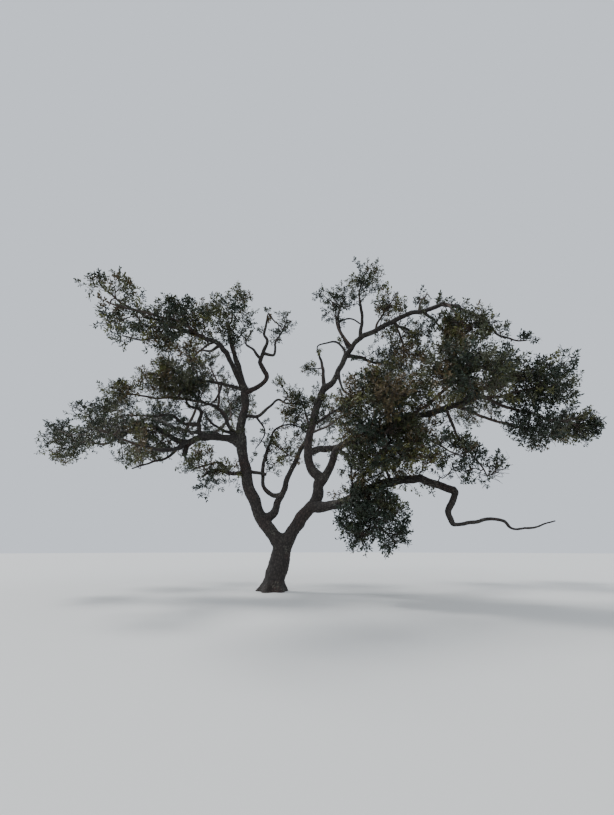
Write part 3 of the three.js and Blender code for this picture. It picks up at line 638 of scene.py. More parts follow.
def limb_course(carrier, at, girth, course):
    if carrier is None:
        return Course(runs_from(Vector((0, 0, 0)), course), crooked=0.0)
    start = carrier.smooth(at)
    if at < 1:
        return Course(runs_from(start, course))
    ahead = carrier.end_ahead()
    straight = start + ahead * girth[0] / 2
    return Course([start - ahead * girth[0] / 4, *runs_from(straight, course)])


def taper(girth, share, collar=COLLAR["swell"]):
    even = between(girth, share) / 2
    return even * (1 + collar * math.exp(-COLLAR["fade"] * share)) + BARK_SWELL * min(even / 0.06, 1)


def trunk_radius(share, angle, height):
    even = between(LIMBS["trunk"][2], share) / 2
    lobe = 0.5 + 0.5 * math.cos(TRUNK_FLARE["lobes"] * (angle - math.radians(TRUNK_FLARE["turn"])))
    fullness = TRUNK_FLARE["hollow"] + (1 - TRUNK_FLARE["hollow"]) * lobe
    flare = TRUNK_FLARE["reach"] * math.exp(-max(height, 0) / TRUNK_FLARE["height"]) * fullness
    forking = smoothstep(height, TRUNK_FORK["low"], TRUNK_FORK["high"])
    fork = forking * TRUNK_FORK["reach"] * math.cos(angle) ** 2
    return (even + fork) * (1 - TRUNK_FORK["rounding"] * forking) + flare


class Limb:
    """A limb or stem to be barked: its sections every few centimetres along it."""

    def __init__(self, course, radius_at, spacing, sides):
        self.sides = sides
        self.sections = []
        side = Vector((1, 0, 0))
        for share, length in course.shares_every(spacing):
            centre = course.at(share)
            ahead = course.ahead(share)
            if radius_at is trunk_radius:
                upright = 1 - smoothstep(centre.z, 0, TRUNK_LEVEL)
                ahead = ahead.lerp(UP, upright).normalized()
            side = side - ahead * side.dot(ahead)
            if side.length < 0.2:
                side = Vector((0, 1, 0)) - ahead * ahead.y
            side.normalize()
            up = ahead.cross(side)
            radii = [
                radius_at(share, 2 * math.pi * i / sides, centre.z) for i in range(sides)
            ]
            self.sections.append((centre, ahead, side, up, length, radii))

    def tube(self):
        """Bridges the sections into one closed tube, as a mesh."""
        tube = bmesh.new()
        before = None
        for centre, ahead, side, up, length, radii in self.sections:
            circle = bmesh.ops.create_circle(tube, segments=self.sides, radius=1)["verts"]
            for vert in circle:
                angle = math.atan2(vert.co.y, vert.co.x)
                radius = radii[round(angle / (2 * math.pi) * self.sides) % self.sides]
                vert.co = centre + radius * (math.cos(angle) * side + math.sin(angle) * up)
            ring = {edge for vert in circle for edge in vert.link_edges}
            if before is not None:
                bmesh.ops.bridge_loops(tube, edges=[*before, *ring])
            before = ring
        rims = [edge for edge in tube.edges if edge.is_boundary]
        bmesh.ops.holes_fill(tube, edges=rims, sides=0)
        bmesh.ops.recalc_face_normals(tube, faces=tube.faces)
        mesh = bpy.data.meshes.new("tube")
        tube.to_mesh(mesh)
        tube.free()
        return mesh


def plain_radius(girth, collar):
    return lambda share, angle, height: taper(girth, share, collar)


def stem_course(carrier, at, centre, reach, chance):
    """The stem leaves its limb, bows aside and runs on through the middle of the space."""
    start = carrier.smooth(at)
    points = [start]
    if at == 1:
        ahead = carrier.end_ahead()
        points = [start - ahead * STEM_GIRTH[0], start + ahead * STEM_GIRTH[0]]
    span = centre - start
    bow = any_direction(chance) * STEM_CROOK * span.length
    inner = min(reach) * TWIG_HUB
    points += [start + span / 2 + bow, centre, centre + span.normalized() * inner]
    return Course(points)


noise.seed_set(CROOK_SEED)  # without it, a noise vector differs from run to run
courses = {}
for name, (on, at, girth, course) in WOOD.items():
    courses[name] = limb_course(courses.get(on), at, girth, course)

stems = {}
for index, (name, (on, at, centre, reach, full)) in enumerate(MASSES.items()):
    stems[name] = stem_course(
        courses[on], at, Vector(centre), reach, chance_from(STEM_SEED + index)
    )


def dome_over(limb, rise):
    """Closes the top of the trunk with a low dome, so that its fork has a rounded crotch."""
    centre, ahead, side, up, length, radii = limb.sections[-1]
    for step in (0.35, 0.65, 0.88, 0.99):
        narrowing = math.sqrt(1 - step * step)
        raised = centre + ahead * rise * step
        smaller = [radius * narrowing for radius in radii]
        limb.sections.append((raised, ahead, side, up, length + rise * step, smaller))


def dig_in(limb):
    """Carries the trunk on below the ground, where its mesh is cut off level later."""
    centre, ahead, side, up, length, radii = limb.sections[0]
    below = centre - TRUNK_FOOT * UP
    limb.sections.insert(0, (below, ahead, side, up, length - TRUNK_FOOT, radii))


def limb_named(name):
    on, at, girth, course = WOOD[name]
    if name == "trunk":
        trunk = Limb(courses[name], trunk_radius, *TRUNK_SECTIONS)
        dome_over(trunk, TRUNK_DOME)
        dig_in(trunk)
        return trunk
    collar = COLLAR["swell"] if at < 1 else 0.0
    spacing = max(girth[1] * LIMB_SPACING[0], LIMB_SPACING[1])
    sides = LIMB_SIDES[girth[0] > THICK]
    return Limb(courses[name], plain_radius(girth, collar), spacing, sides)


def object_of(name, mesh):
    piece = bpy.data.objects.new(name, mesh)
    bpy.context.scene.collection.objects.link(piece)
    return piece


def wrapped(name, shell, voxel):
    """Wraps a few tubes that run into one another in one skin."""
    mesh = bpy.data.meshes.new(name)
    shell.to_mesh(mesh)
    piece = object_of(name, mesh)
    remesh = piece.modifiers.new("skin", "REMESH")
    remesh.mode = "VOXEL"
    remesh.voxel_size = voxel
    remesh.use_smooth_shade = True
    settled = piece.evaluated_get(bpy.context.evaluated_depsgraph_get())
    skin = bpy.data.meshes.new_from_object(settled)
    piece.modifiers.clear()
    piece.data = skin
    skin.name = name
    bpy.data.meshes.remove(mesh)
    return piece


def cut_level(skin):
    """Cuts the trunk off at the ground and closes the cut."""
    everything = [*skin.verts, *skin.edges, *skin.faces]
    cut = bmesh.ops.bisect_plane(
        skin, geom=everything, plane_co=(0, 0, 0), plane_no=(0, 0, 1), clear_inner=True
    )
    rim = [piece for piece in cut["geom_cut"] if isinstance(piece, bmesh.types.BMEdge)]
    bmesh.ops.holes_fill(skin, edges=rim, sides=0)


def relief(place, point, radius):
    """How deep the bark's furrows are at a place on a limb, and how far it stands out there."""
    near, further = noise.voronoi(place / BARK_PLATE)[0][:2]
    furrow = 1 - smoothstep(further - near, *BARK_FURROW)
    slab = noise.noise(place * SLAB_PITCH)
    lump = noise.noise(point * LUMP_PITCH) + 0.5 * noise.noise(point * 2.3 * LUMP_PITCH)
    roughness = min(radius / ROUGH_RADIUS, 1) ** 0.6
    grain = roughness * BARK_DEPTH * (SLAB_SHARE * slab - furrow)
    return furrow, grain + LUMP_REACH * radius * lump


def add_relief(piece, limbs):
    """Moves a skin in and out by the bark's relief, and notes each point's place on its limb."""
    samples = [section for limb in limbs for section in limb.sections]
    limb_of = [index for index, limb in enumerate(limbs) for section in limb.sections]
    tree = kdtree.KDTree(len(samples))
    for index, sample in enumerate(samples):
        tree.insert(sample[0], index)
    tree.balance()
    mesh = piece.data
    count = len(mesh.vertices)
    normals = np.empty(count * 3)
    mesh.vertex_normals.foreach_get("vector", normals)
    normals = normals.reshape(-1, 3)
    places = np.empty((count, 3))
    furrows = np.empty(count)
    moved = np.empty((count, 3))
    for index, vert in enumerate(mesh.vertices):
        nearest = tree.find(vert.co)[1]
        centre, ahead, side, up, length, radii = samples[nearest]
        offset = vert.co - centre
        along = length + offset.dot(ahead)
        across = offset - ahead * offset.dot(ahead)
        place = Vector((offset.dot(side), offset.dot(up), along / BARK_STRETCH))
        place += Vector((0, 0, BARK_SHIFT * limb_of[nearest]))
        furrow, height = relief(place, vert.co, across.length)
        places[index] = place
        furrows[index] = furrow
        moved[index] = vert.co + Vector(normals[index]) * height
        on_ground = vert.co.z < 1e-4
        moved[index][2] = 0 if on_ground else max(moved[index][2], 0)
    mesh.vertices.foreach_set("co", moved.ravel())
    bark_place = mesh.attributes.new("bark_place", "FLOAT_VECTOR", "POINT")
    bark_place.data.foreach_set("vector", places.ravel())
    # How deep in a furrow each point lies; the bark's finish darkens it there as painted shade.
    mesh.attributes.new("furrow", "FLOAT", "POINT").data.foreach_set("value", furrows)
    mesh.update()


def bark_over(name, nodes, voxel, smoothing):
    """One piece of bark over several limbs, in place of their nodes."""
    limbs = [limb_named(node) for node in nodes]
    shell = bmesh.new()
    for limb in limbs:
        tube = limb.tube()
        shell.from_mesh(tube)
        bpy.data.meshes.remove(tube)
    piece = wrapped(name, shell, voxel)
    shell.free()
    skin = bmesh.new()
    skin.from_mesh(piece.data)
    for turn in range(smoothing):
        bmesh.ops.smooth_vert(
            skin, verts=skin.verts, factor=0.5, use_axis_x=True, use_axis_y=True, use_axis_z=True
        )
    if "trunk" in nodes:
        cut_level(skin)
    skin.to_mesh(piece.data)
    skin.free()
    add_relief(piece, limbs)
    for polygon in piece.data.polygons:
        polygon.use_smooth = True
    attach(piece, "root")
    if nodes[0] in LIMBS:
        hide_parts(*nodes)
    return piece


def space_depths(points):
    """How deep each point lies in each mass's space: 0 in its middle and 1 at its skin."""
    apart = (points[:, None, :] - space_middles[None]) / space_reaches[None]
    return np.linalg.norm(apart, axis=2)


def skin_distance(centre, reach, start, ahead):
    """How far it is from a point to the skin of a space, straight ahead."""
    from_middle = Vector(((start[i] - centre[i]) / reach[i] for i in range(3)))
    way = Vector((ahead[i] / reach[i] for i in range(3)))
    a = way.dot(way)
    b = from_middle.dot(way)
    c = from_middle.dot(from_middle) - 1
    inside = b * b - a * c
    return (-b + math.sqrt(inside)) / a if inside > 0 else 0.0


def leaning(ahead, lean, turn):
    """A direction that leans from another by an angle, on the side that a turn gives."""
    side = ahead.orthogonal().normalized()
    side.rotate(Matrix.Rotation(turn, 3, ahead))
    return ahead * math.cos(lean) + side * math.sin(lean)


def offshoot(course, place, lean, turn, lift):
    """Where growth leaves its course, and the way that it heads."""
    ahead = leaning(course.ahead(place), math.radians(lean), turn)
    return course.at(place), lifted(ahead, lift)


def bent_course(start, end, bend, rng):
    """A zigzag between a start and an end, as a twig grows."""
    span = end - start
    points = [start]
    for share in (0.25, 0.5, 0.75):
        aside = Vector(rng.normal(size=3)) * bend * span.length
        points.append(start + span * share + aside)
    points.append(end)
    return Course(points, crooked=0.0)


def twigs_of(index, name, rng):
    """The source's own twigs of a mass."""
    centre, reach, full = MASSES[name][2:]
    centre = Vector(centre)
    chance = chance_from(FOLIAGE_SEED + index)
    rx, ry, rz = reach
    skin = 4 * math.pi * (rx * ry + ry * rz + rz * rx) / 3
    sprays = full * SPRAYS_PER_SKIN * skin ** SPRAY_POWER
    count = max(2, round(sprays / SPRAYS_ON_TWIG))
    outward = lifted((centre - CROWN_MIDDLE).normalized(), CROWN_LIFT)
    turn = UP.rotation_difference(outward)
    hubs = []
    for i in range(count):
        way = turn @ even_direction(i, count)
        way = (way + any_direction(chance) * TWIG_JITTER).normalized()
        hubs.append(centre + Vector((way[axis] * reach[axis] * TWIG_HUB for axis in range(3))))
    stem = stems[name]
    ahead = stem.ahead(1)
    hubs.sort(key=lambda hub: hub.dot(ahead))
    return [
        bent_course(stem.at(between(TWIG_SPAN, (i + 0.5) / count)), hub, TWIG_BEND, rng)
        for i, hub in enumerate(hubs)
    ]


def sprays_of(name, twig, own, rng):
    """The sprays that a twig carries, each with its course."""
    centre, reach = MASSES[name][2:4]
    turn = rng.uniform(0, 2 * math.pi)
    grown = []
    for place in SPRAY_ROOTS + (LUSH_ROOTS if name in LUSH else ()):
        for attempt in range(SPRAY_TRIES):
            turn += GOLDEN_TURN
            lean = between(SPRAY_LEANS, place) + rng.uniform(-SPRAY_JITTER, SPRAY_JITTER)
            root, ahead = offshoot(twig, place, max(lean, 0), turn, SPRAY_LIFT)
            length = skin_distance(centre, reach, root, ahead) * rng.uniform(*SPRAY_SHARE)
            if length < SPRAY_LENGTH[0]:
                continue
            tip = root + ahead * min(length, SPRAY_LENGTH[1])
            depths = space_depths(np.array([tip]))[0]
            if depths[own] <= SPACE_SLACK and depths[own] <= depths.min():
                if rng.random() < THINNED.get(name, 1):
                    grown.append(bent_course(root, tip, SPRAY_BEND, rng))
                break
    return grown


def tuft_on(course, places, reach, rng):
    """Short sprays all round a twig or limb, at a few places along it."""
    turn = rng.uniform(0, 2 * math.pi)
    grown = []
    for place in places:
        turn += GOLDEN_TURN
        lean = rng.uniform(*(TUFT_LEANS if place < 1 else TUFT_END_LEANS))
        root, ahead = offshoot(course, place, lean, turn, TUFT_LIFT)
        tip = root + ahead * reach * rng.uniform(*TUFT_VARIETY)
        grown.append(bent_course(root, tip, SPRAY_BEND, rng))
    return grown


def side_twigs_of(course, rng):
    """Twigs that leave a limb along its way, where they end in or near the foliage."""
    turn = rng.uniform(0, 2 * math.pi)
    grown = []
    for share, length in course.shares_every(SIDE_TWIGS["spacing"]):
        if share < SIDE_TWIGS["from"]:
            continue
        turn += GOLDEN_TURN
        lean = rng.uniform(*SIDE_TWIGS["leans"])
        root, ahead = offshoot(course, share, lean, turn, SIDE_TWIGS["lift"])
        tip = root + ahead * rng.uniform(*SIDE_TWIGS["length"])
        if space_depths(np.array([tip]))[0].min() < SIDE_SLACK and is_free(tip):
            grown.append(bent_course(root, tip, TWIG_BEND, rng))
    return grown


def is_free(point):
    """Whether a point is clear of the wood and within the crown's outline."""
    if any(not low <= value <= high for value, low, high in zip(point, crown_low, crown_high)):
        return False
    place, sample, distance = wood.find(point)
    return distance > wood_radii[sample] + WOOD_ROOM


def shoots_of(spray, slack, rng):
    """The side shoots of a spray and the one that ends it, each as three points."""
    fine = spray.shares_every(1 / SHOOTS_PER_METRE)
    fullness = min(fine[-1][1] / FULL_SPRAY, 1) ** 0.5
    turn = rng.uniform(0, 2 * math.pi)
    grown = []
    for share, length in fine[1:]:
        turn += GOLDEN_TURN
        lean = between(SHOOT_LEANS, share) + rng.uniform(-SHOOT_JITTER, SHOOT_JITTER)
        lean = lean if share < 1 else SHOOT_END_LEAN
        root, ahead = offshoot(spray, share, lean, turn, SHOOT_LIFT)
        reach = between(SHOOT_LENGTH, share) * (rng.uniform(*VARIETY) * fullness)
        bow = Vector(rng.normal(size=3)) * SHOOT_BOW * reach
        middle = root + ahead * reach / 2 + bow
        tip = root + ahead * reach
        if is_free(middle) and is_free(tip):
            grown.append((root, middle, tip))
    if slack is None or not grown:
        return grown
    depths = space_depths(np.array([tip for root, middle, tip in grown])).min(axis=1)
    return [shoot for shoot, depth in zip(grown, depths) if depth < slack]


def unit(vectors):
    return vectors / np.linalg.norm(vectors, axis=-1, keepdims=True)


def spiral_round(way, count, rng):
    """For each of many directions, a few that stand square to it and turn round it in a spiral."""
    side = unit(np.cross(way, rng.normal(size=way.shape)))
    up = np.cross(side, way)
    turns = np.arange(count) * GOLDEN_TURN
    turns = turns[None] + rng.uniform(0, 2 * math.pi, (len(way), 1))
    return side[:, None] * np.cos(turns)[..., None] + up[:, None] * np.sin(turns)[..., None]


def sprigs_on(shoots, rng):
    """The sprigs of many shoots, as pairs of points."""
    along = (np.arange(SPRIGS_ON_SHOOT) + 1) / SPRIGS_ON_SHOOT
    way = unit(shoots[:, 2] - shoots[:, 0])
    around = spiral_round(way, SPRIGS_ON_SHOOT, rng)
    each = around.shape[:2]
    leans = between(SPRIG_LEANS, along)[None] + rng.uniform(-SPRIG_JITTER, SPRIG_JITTER, each)
    leans = np.radians(leans)[..., None]
    ahead = unit(way[:, None] * np.cos(leans) + around * np.sin(leans) + [0, 0, SPRIG_LIFT])
    late = np.clip(along * 2 - 1, 0, 1)[None, :, None]
    early = np.clip(along * 2, 0, 1)[None, :, None]
    first, middle, last = shoots[:, None, 0], shoots[:, None, 1], shoots[:, None, 2]
    roots = first + (middle - first) * early + (last - middle) * late
    reach = SPRIG_LENGTH * rng.uniform(*VARIETY, each)[..., None]
    return np.stack([roots, roots + ahead * reach], axis=2).reshape(-1, 2, 3)


def circles(side, up, sides):
    """The corners of many circles, each given by two directions in its plane."""
    angles = (np.arange(sides) * 2 * math.pi / sides)[None, :, None]
    return side[:, None] * np.cos(angles) - up[:, None] * np.sin(angles)


def tubes(paths, girths, sides):
    """Closed tapering tubes along paths that have the same number of points."""
    count, rings, axes = paths.shape
    way = unit(paths[:, -1] - paths[:, 0])
    upright = np.where(np.abs(way[:, 2:]) < 0.8, [[0.0, 0.0, 1.0]], [[1.0, 0.0, 0.0]])
    side = unit(np.cross(way, upright))
    around = circles(side, np.cross(side, way), sides)
    verts = paths[:, :, None] + around[:, None] * (girths / 2)[:, :, None, None]
    first = (np.arange(count) * rings * sides)[:, None, None]
    ring = (np.arange(rings - 1) * sides)[None, :, None]
    here = np.arange(sides)[None, None, :]
    after = (here + 1) % sides
    low = first + ring + here
    low_after = first + ring + after
    quads = np.stack([low, low_after, low_after + sides, low + sides], axis=3).reshape(-1, 4)
    roots = (first[:, :, 0] + np.arange(sides)[None, ::-1]).reshape(-1, sides)
    tips = (first[:, :, 0] + (rings - 1) * sides + np.arange(sides)[None]).reshape(-1, sides)
    return verts.reshape(-1, 3), [quads, np.concatenate([roots, tips])]


def spikes(sprigs):
    """Three-sided sprigs that taper to a point."""
    roots = sprigs[:, 0]
    way = unit(sprigs[:, 1] - roots)
    side = unit(np.cross(way, [[0.31, 0.53, 0.79]]))
    rings = roots[:, None] + circles(side, np.cross(side, way), 3) * SPRIG_GIRTH / 2
    verts = np.concatenate([rings, sprigs[:, 1:]], axis=1)
    faces = np.array([(0, 1, 3), (1, 2, 3), (2, 0, 3), (2, 1, 0)])
    starts = (np.arange(len(sprigs)) * 4)[:, None, None]
    return verts.reshape(-1, 3), [(faces[None] + starts).reshape(-1, 3)]


def joined_mesh(name, parts):
    """One mesh from arrays of corners and of faces."""
    verts = np.concatenate([corners for corners, faces in parts])
    starts = np.cumsum([0] + [len(corners) for corners, faces in parts])
    blocks = [block + start for (corners, faces), start in zip(parts, starts) for block in faces]
    sizes = np.concatenate([np.full(len(block), block.shape[1]) for block in blocks])
    corners_of = np.concatenate([block.ravel() for block in blocks])
    mesh = bpy.data.meshes.new(name)
    mesh.vertices.add(len(verts))
    mesh.vertices.foreach_set("co", verts.ravel())
    mesh.loops.add(len(corners_of))
    mesh.loops.foreach_set("vertex_index", corners_of.astype(np.int32))
    mesh.polygons.add(len(sizes))
    mesh.polygons.foreach_set("loop_start", (np.cumsum(sizes) - sizes).astype(np.int32))
    mesh.update(calc_edges=True)
    mesh.validate()
    return mesh


def leaf_pattern():
    """One leaf, a unit long and folded a little along its midrib, as corners and two faces."""
    leaf = bmesh.new()
    outline = ((0, 0), (0.5, 0.3), (0.42, 0.7), (0, 1), (-0.42, 0.7), (-0.5, 0.3))
    corners = [
        leaf.verts.new((LEAF_WIDTH * x, y, abs(x) * LEAF_WIDTH * LEAF_FOLD)) for x, y in outline
    ]
    leaf.faces.new(corners)
    bmesh.ops.connect_vert_pair(leaf, verts=[corners[0], corners[3]])
    leaf.verts.index_update()
    points = np.array([vert.co for vert in leaf.verts])
    faces = np.array([[vert.index for vert in face.verts] for face in leaf.faces])
    leaf.free()
    return points, faces


def leaves_on(sprigs, rng):
    """The leaves of many sprigs, stamped from one pattern."""
    roots = sprigs[:, 0]
    along = (np.arange(LEAVES_ON_SPRIG) + 1) / LEAVES_ON_SPRIG
    way = unit(sprigs[:, 1] - roots)
    around = spiral_round(way, LEAVES_ON_SPRIG, rng)
    each = around.shape[:2]
    leans = np.radians(rng.uniform(*LEAF_LEANS, each))[..., None]
    ahead = way[:, None] * np.cos(leans) + around * np.sin(leans)
    place = roots[:, None] + (sprigs[:, 1] - roots)[:, None] * along[None, :, None]
    face_up = np.array(UP) + rng.normal(scale=LEAF_TURN, size=ahead.shape)
    across = unit(np.cross(ahead, face_up))
    outward = np.cross(across, ahead)
    length = rng.uniform(*LEAF_LENGTH, each)[..., None]
    points, faces = leaf_pattern()
    frames = np.stack([across, ahead, outward], axis=-2) * length[..., None]
    verts = (place[..., None, :] + points @ frames).reshape(-1, 3)
    starts = (np.arange(len(verts) // len(points)) * len(points))[:, None, None]
    return verts, [(faces[None] + starts).reshape(-1, faces.shape[1])]


class Value:
    """A shader socket that sums are written with, as with a number."""

    def __init__(self, finish, socket):
        self.finish = finish
        self.socket = socket

    def maths(self, operation, *values):
        return self.finish.node("ShaderNodeMath", {"operation": operation}, *values)

    def __add__(self, other):
        return self.maths("ADD", self, other)

    def __mul__(self, other):
        return self.maths("MULTIPLY", self, other)

    def __sub__(self, other):
        return self.maths("SUBTRACT", self, other)

    def __rsub__(self, other):
        return self.maths("SUBTRACT", other, self)

    __radd__ = __add__
    __rmul__ = __mul__


class Finish:
    """A material, and the nodes that make it."""

    def __init__(self, name, **constants):
        self.material = bpy.data.materials.new(name)
        self.material.use_nodes = True
        self.tree = self.material.node_tree
        self.shader = self.tree.nodes["Principled BSDF"]
        for socket, value in constants.items():
            self.shader.inputs[socket.replace("_", " ")].default_value = value

    def node(self, kind, settings, *values, output=0, **named):
        """Adds a node with its settings, and the values or links of its sockets."""
        node = self.tree.nodes.new(kind)
        stops = settings.pop("stops", None)
        for setting, value in settings.items():
            setattr(node, setting, value)
        if stops:
            ramp = node.color_ramp.elements
            while len(ramp) < len(stops):
                ramp.new(0.5)
            for element, (position, colour) in zip(ramp, stops):
                element.position = position
                element.color = (*colour, 1)
        for socket, value in [*enumerate(values), *named.items()]:
            if isinstance(socket, str):
                socket = socket.replace("_", " ")
            self.link(value, node.inputs[socket])
        return Value(self, node.outputs[output])

    def link(self, value, socket):
        if isinstance(value, Value):
            self.tree.links.new(value.socket, socket)
        elif isinstance(value, tuple) and len(value) == 3 and socket.type == "RGBA":
            socket.default_value = (*value, 1)
        else:
            socket.default_value = value

    def feed(self, socket, value):
        self.link(value, self.shader.inputs[socket])

    def mixed(self, share, first, second):
        """Blends two colours, which this kind of node has at sockets 6, 7 and 2 (the result)."""
        node = self.tree.nodes.new("ShaderNodeMix")
        node.data_type = "RGBA"
        for socket, value in ((0, share), (6, first), (7, second)):
            self.link(value, node.inputs[socket])
        return Value(self, node.outputs[2])

    def noise_at(self, place, pitch, detail=3, roughness=0.55):
        return self.node(
            "ShaderNodeTexNoise", {}, Vector=place, Scale=pitch, Detail=detail, Roughness=roughness
        )

    def ramp(self, share, *stops):
        return self.node("ShaderNodeValToRGB", {"stops": stops}, share)

    def spot(self):
        return self.node("ShaderNodeTexCoord", {}, output="Object")

    def patches(self, place, pitch, low, high):
        """1 in scattered patches and 0 between them."""
        return self.ramp(self.noise_at(place, pitch), (low, (0, 0, 0)), (high, (1, 1, 1)))


def screen(red, green, blue):
    """A colour as seen on a screen, in the shader's linear numbers."""
    return tuple(
        value / 12.92 if value <= 0.04045 else ((value + 0.055) / 1.055) ** 2.4
        for value in (red, green, blue)
    )


def bark_finish():
    finish = Finish("bark", Roughness=0.9)
    place = finish.node("ShaderNodeAttribute", {"attribute_name": "bark_place"}, output="Vector")
    furrow = finish.node("ShaderNodeAttribute", {"attribute_name": "furrow"}, output="Fac")
    spot = finish.spot()
    blocks = finish.node(
        "ShaderNodeTexVoronoi", {"feature": "DISTANCE_TO_EDGE"}, Vector=place, Scale=26, Randomness=1
    )
    crack = 1 - finish.node("ShaderNodeMapRange", {}, blocks, 0, 0.16, 0, 1)
    grain = finish.noise_at(place, 60, detail=4)
    plates = finish.noise_at(place, 11, detail=2)
    tone = finish.ramp(
        grain * 0.5 + plates * 0.5,
        (0.3, screen(0.165, 0.15, 0.14)), (0.5, screen(0.235, 0.215, 0.20)),
        (0.7, screen(0.30, 0.275, 0.26)),
    )
    rust = finish.patches(spot, 0.9, 0.5, 0.68)
    tone = finish.mixed(rust, tone, screen(0.27, 0.205, 0.185))
    lichen = finish.patches(spot, 1.6, 0.53, 0.62) * finish.patches(spot, 17, 0.46, 0.58)
    tone = finish.mixed(lichen * 0.7, tone, screen(0.43, 0.43, 0.39))
    # Furrows and cracks are blended toward near black: painted shade in the bark's recesses.
    deep = furrow.maths("MAXIMUM", furrow, crack * 0.8)
    finish.feed("Base Color", finish.mixed(deep * 0.85, tone, screen(0.09, 0.08, 0.075)))
    height = grain * 0.3 - crack * 0.7
    finish.feed("Normal", finish.node("ShaderNodeBump", {}, 0.6, 0.012, Height=height))
    return finish.material


def twig_finish():
    finish = Finish("twig bark", Roughness=0.85)
    spot = finish.spot()
    tone = finish.ramp(
        finish.noise_at(spot, 5), (0.35, screen(0.17, 0.145, 0.125)), (0.65, screen(0.30, 0.25, 0.22))
    )
    finish.feed("Base Color", tone)
    return finish.material


def leaf_finish(name, colour):
    finish = Finish(name + " leaves", Roughness=0.48)
    finish.shader.inputs["Specular IOR Level"].default_value = 0.35
    spot = finish.spot()
    shade = finish.noise_at(spot, 9, detail=1)
    darker = tuple(0.72 * value for value in screen(*colour))
    lighter = tuple(1.25 * value for value in screen(*colour))
    finish.feed("Base Color", finish.ramp(shade, (0.4, darker), (0.6, lighter)))
    return finish.material


def foliage_piece(name, parts, material):
    """One piece of twigs or leaves, in place of all the masses."""
    piece = object_of(name, joined_mesh(name, parts))
    piece.data.materials.append(material)
    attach(piece, "root")
    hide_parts(*(name + "_foliage" for name in MASSES))


bark = bark_finish()
for name, nodes, voxel, smoothing in BARK_PIECES:
    bark_over(name, nodes, voxel, smoothing).data.materials.append(bark)

wood_samples = [
    (course.at(share), taper(WOOD[name][2], share))
    for name, course in courses.items()
    for share in np.linspace(0, 1, WOOD_SAMPLES)
]
wood = kdtree.KDTree(len(wood_samples))
for index, (point, radius) in enumerate(wood_samples):
    wood.insert(point, index)
wood.balance()
wood_radii = [radius for point, radius in wood_samples]

space_middles = np.array([mass[2] for mass in MASSES.values()])
space_reaches = np.array([mass[3] for mass in MASSES.values()])
crown_spare = (Vector(cad_high) - Vector(cad_low)) * CROWN_SPARE
crown_low = Vector(cad_low) - crown_spare
crown_high = Vector(cad_high) + crown_spare
crown_high.z = cad_high[2] - CROWN_TOP_ROOM

rng = np.random.default_rng(GROWTH_SEED)
branch_paths = {kind: [] for kind in BRANCH_MESH}
branch_girths = {kind: [] for kind in BRANCH_MESH}
sprays = []  # each with how far its tint leans to painted light and warm hue, and how far out of the spaces its leaves may stand


def add_branch(kind, course, girth):
    places = np.linspace(0, 1, BRANCH_MESH[kind][0])
    branch_paths[kind].append([course.at(place) for place in places])
    branch_girths[kind].append([between(girth, place) for place in places])


def add_sprays(grown, light_shade_and_warmth, slack):
    for spray in grown:
        add_branch("sprays", spray, SPRAY_GIRTH)
        patch = noise.noise(spray.at(1) * TINT_PITCH) + TINT_SCATTER * rng.normal()
        sprays.append((light_shade_and_warmth + patch, spray, slack))


for own, name in enumerate(MASSES):
    stem = stems[name]
    length = stem.shares_every(0.1)[-1][1]
    add_branch("stems", stem, (STEM_GIRTH[0] + STEM_GIRTH[1] * length, STEM_GIRTH[2]))
    slack = TRIMMED.get(name, SPACE_SLACK)
    for twig in twigs_of(own, name, rng):
        add_branch("twigs", twig, TWIG_GIRTH)
        # Each mass's entry leans its leaves to lighter or darker tints: painted light and painted
        # shade.
        add_sprays(sprays_of(name, twig, own, rng), LIGHT_SHADE_AND_WARMTH.get(name, 0), slack)

for name, course in courses.items():
    if name not in NO_SIDE_TWIGS:
        for twig in side_twigs_of(course, rng):
            add_branch("twigs", twig, SIDE_TWIGS["girth"])
            add_sprays(tuft_on(twig, *SIDE_SPRAYS, rng), 0, SIDE_SLACK)
carriers = courses | {"stem of " + name: stem for name, stem in stems.items()}
for name, places, reach in TUFTS:
    add_sprays(tuft_on(carriers[name], places, reach, rng), 0, None)

# Tints are dealt from the darkest, which is painted shade, to the lightest, which is painted sunlight.
sprays.sort(key=lambda spray: spray[0])
shares = np.array([share for name, colour, share in TINTS])
steps = np.round(np.cumsum([0, *shares / shares.sum()]) * len(sprays)).astype(int)
shoots_by_tint = [
    [shoot for light_shade_and_warmth, spray, slack in sprays[low:high] for shoot in shoots_of(spray, slack, rng)]
    for low, high in zip(steps, steps[1:])
]

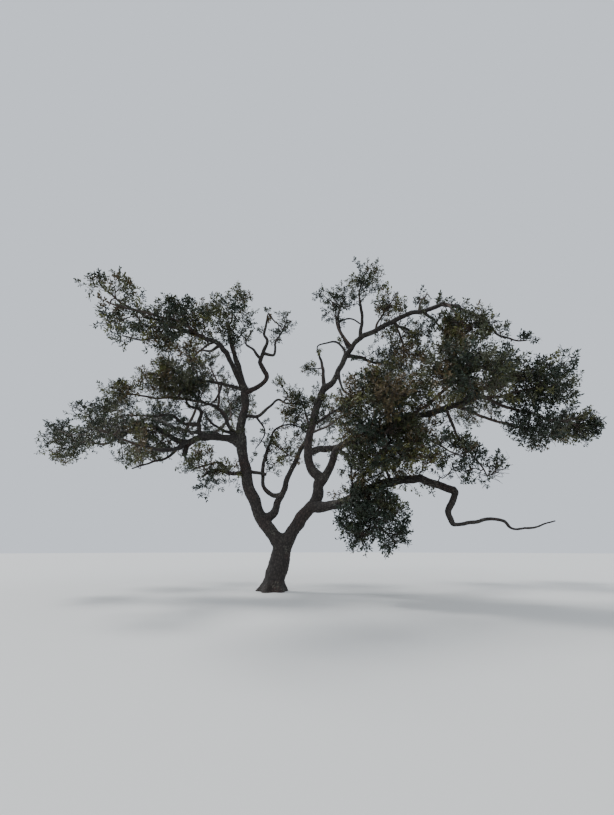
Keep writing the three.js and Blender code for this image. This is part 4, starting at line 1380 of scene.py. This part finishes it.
twig_bark = twig_finish()
shoots = np.array([shoot for tinted in shoots_by_tint for shoot in tinted])
branches = [
    tubes(np.array(branch_paths[kind]), np.array(branch_girths[kind]), sides)
    for kind, (rings, sides) in BRANCH_MESH.items()
]
foliage_piece("branchlets", branches, twig_bark)
shoot_girths = np.ones((len(shoots), 1)) * np.linspace(*SHOOT_GIRTH, 3)
foliage_piece("shoots", [tubes(shoots, shoot_girths, 3)], twig_bark)

sprigs = []
for (name, colour, share), tinted in zip(TINTS, shoots_by_tint):
    sprigs.append(sprigs_on(np.array(tinted), rng))
    foliage_piece(name + "_leaves", [leaves_on(sprigs[-1], rng)], leaf_finish(name, colour))
foliage_piece("sprigs", [spikes(np.concatenate(sprigs))], twig_bark)

floor_disc = bmesh.new()
bmesh.ops.create_circle(floor_disc, cap_ends=True, segments=96, radius=FLOOR_RADIUS)
floor_mesh = bpy.data.meshes.new("floor")
floor_disc.to_mesh(floor_mesh)
floor_disc.free()
floor = object_of("floor", floor_mesh)
floor_finish = Finish("floor", Roughness=0.9)
floor_finish.feed("Base Color", screen(0.80, 0.80, 0.79))
floor_mesh.materials.append(floor_finish.material)

world = bpy.data.worlds.new("studio")
world.use_nodes = True
studio = world.node_tree.nodes["Background"]
studio.inputs["Color"].default_value = (*screen(0.90, 0.93, 0.97), 1)
studio.inputs["Strength"].default_value = 1.0
bpy.context.scene.world = world
for name, azimuth, rise, strength, width in LAMPS:
    lamp = bpy.data.lights.new(name, "SUN")
    lamp.energy = strength
    lamp.angle = math.radians(width)
    lamp_object = bpy.data.objects.new(name, lamp)
    towards = run_vector(1, azimuth, rise)
    lamp_object.rotation_euler = towards.to_track_quat("Z", "Y").to_euler()
    bpy.context.scene.collection.objects.link(lamp_object)

camera = bpy.data.cameras.new("camera")
camera.sensor_width = 36
camera.lens = camera.sensor_width * PHOTO_FOCUS / max(PHOTO_SIZE)
camera.clip_end = 1000
camera_object = bpy.data.objects.new("camera", camera)
camera_object.location = EYE
camera_object.rotation_euler = (math.radians(90 + PHOTO_TILT), 0, 0)
bpy.context.scene.collection.objects.link(camera_object)
bpy.context.scene.camera = camera_object
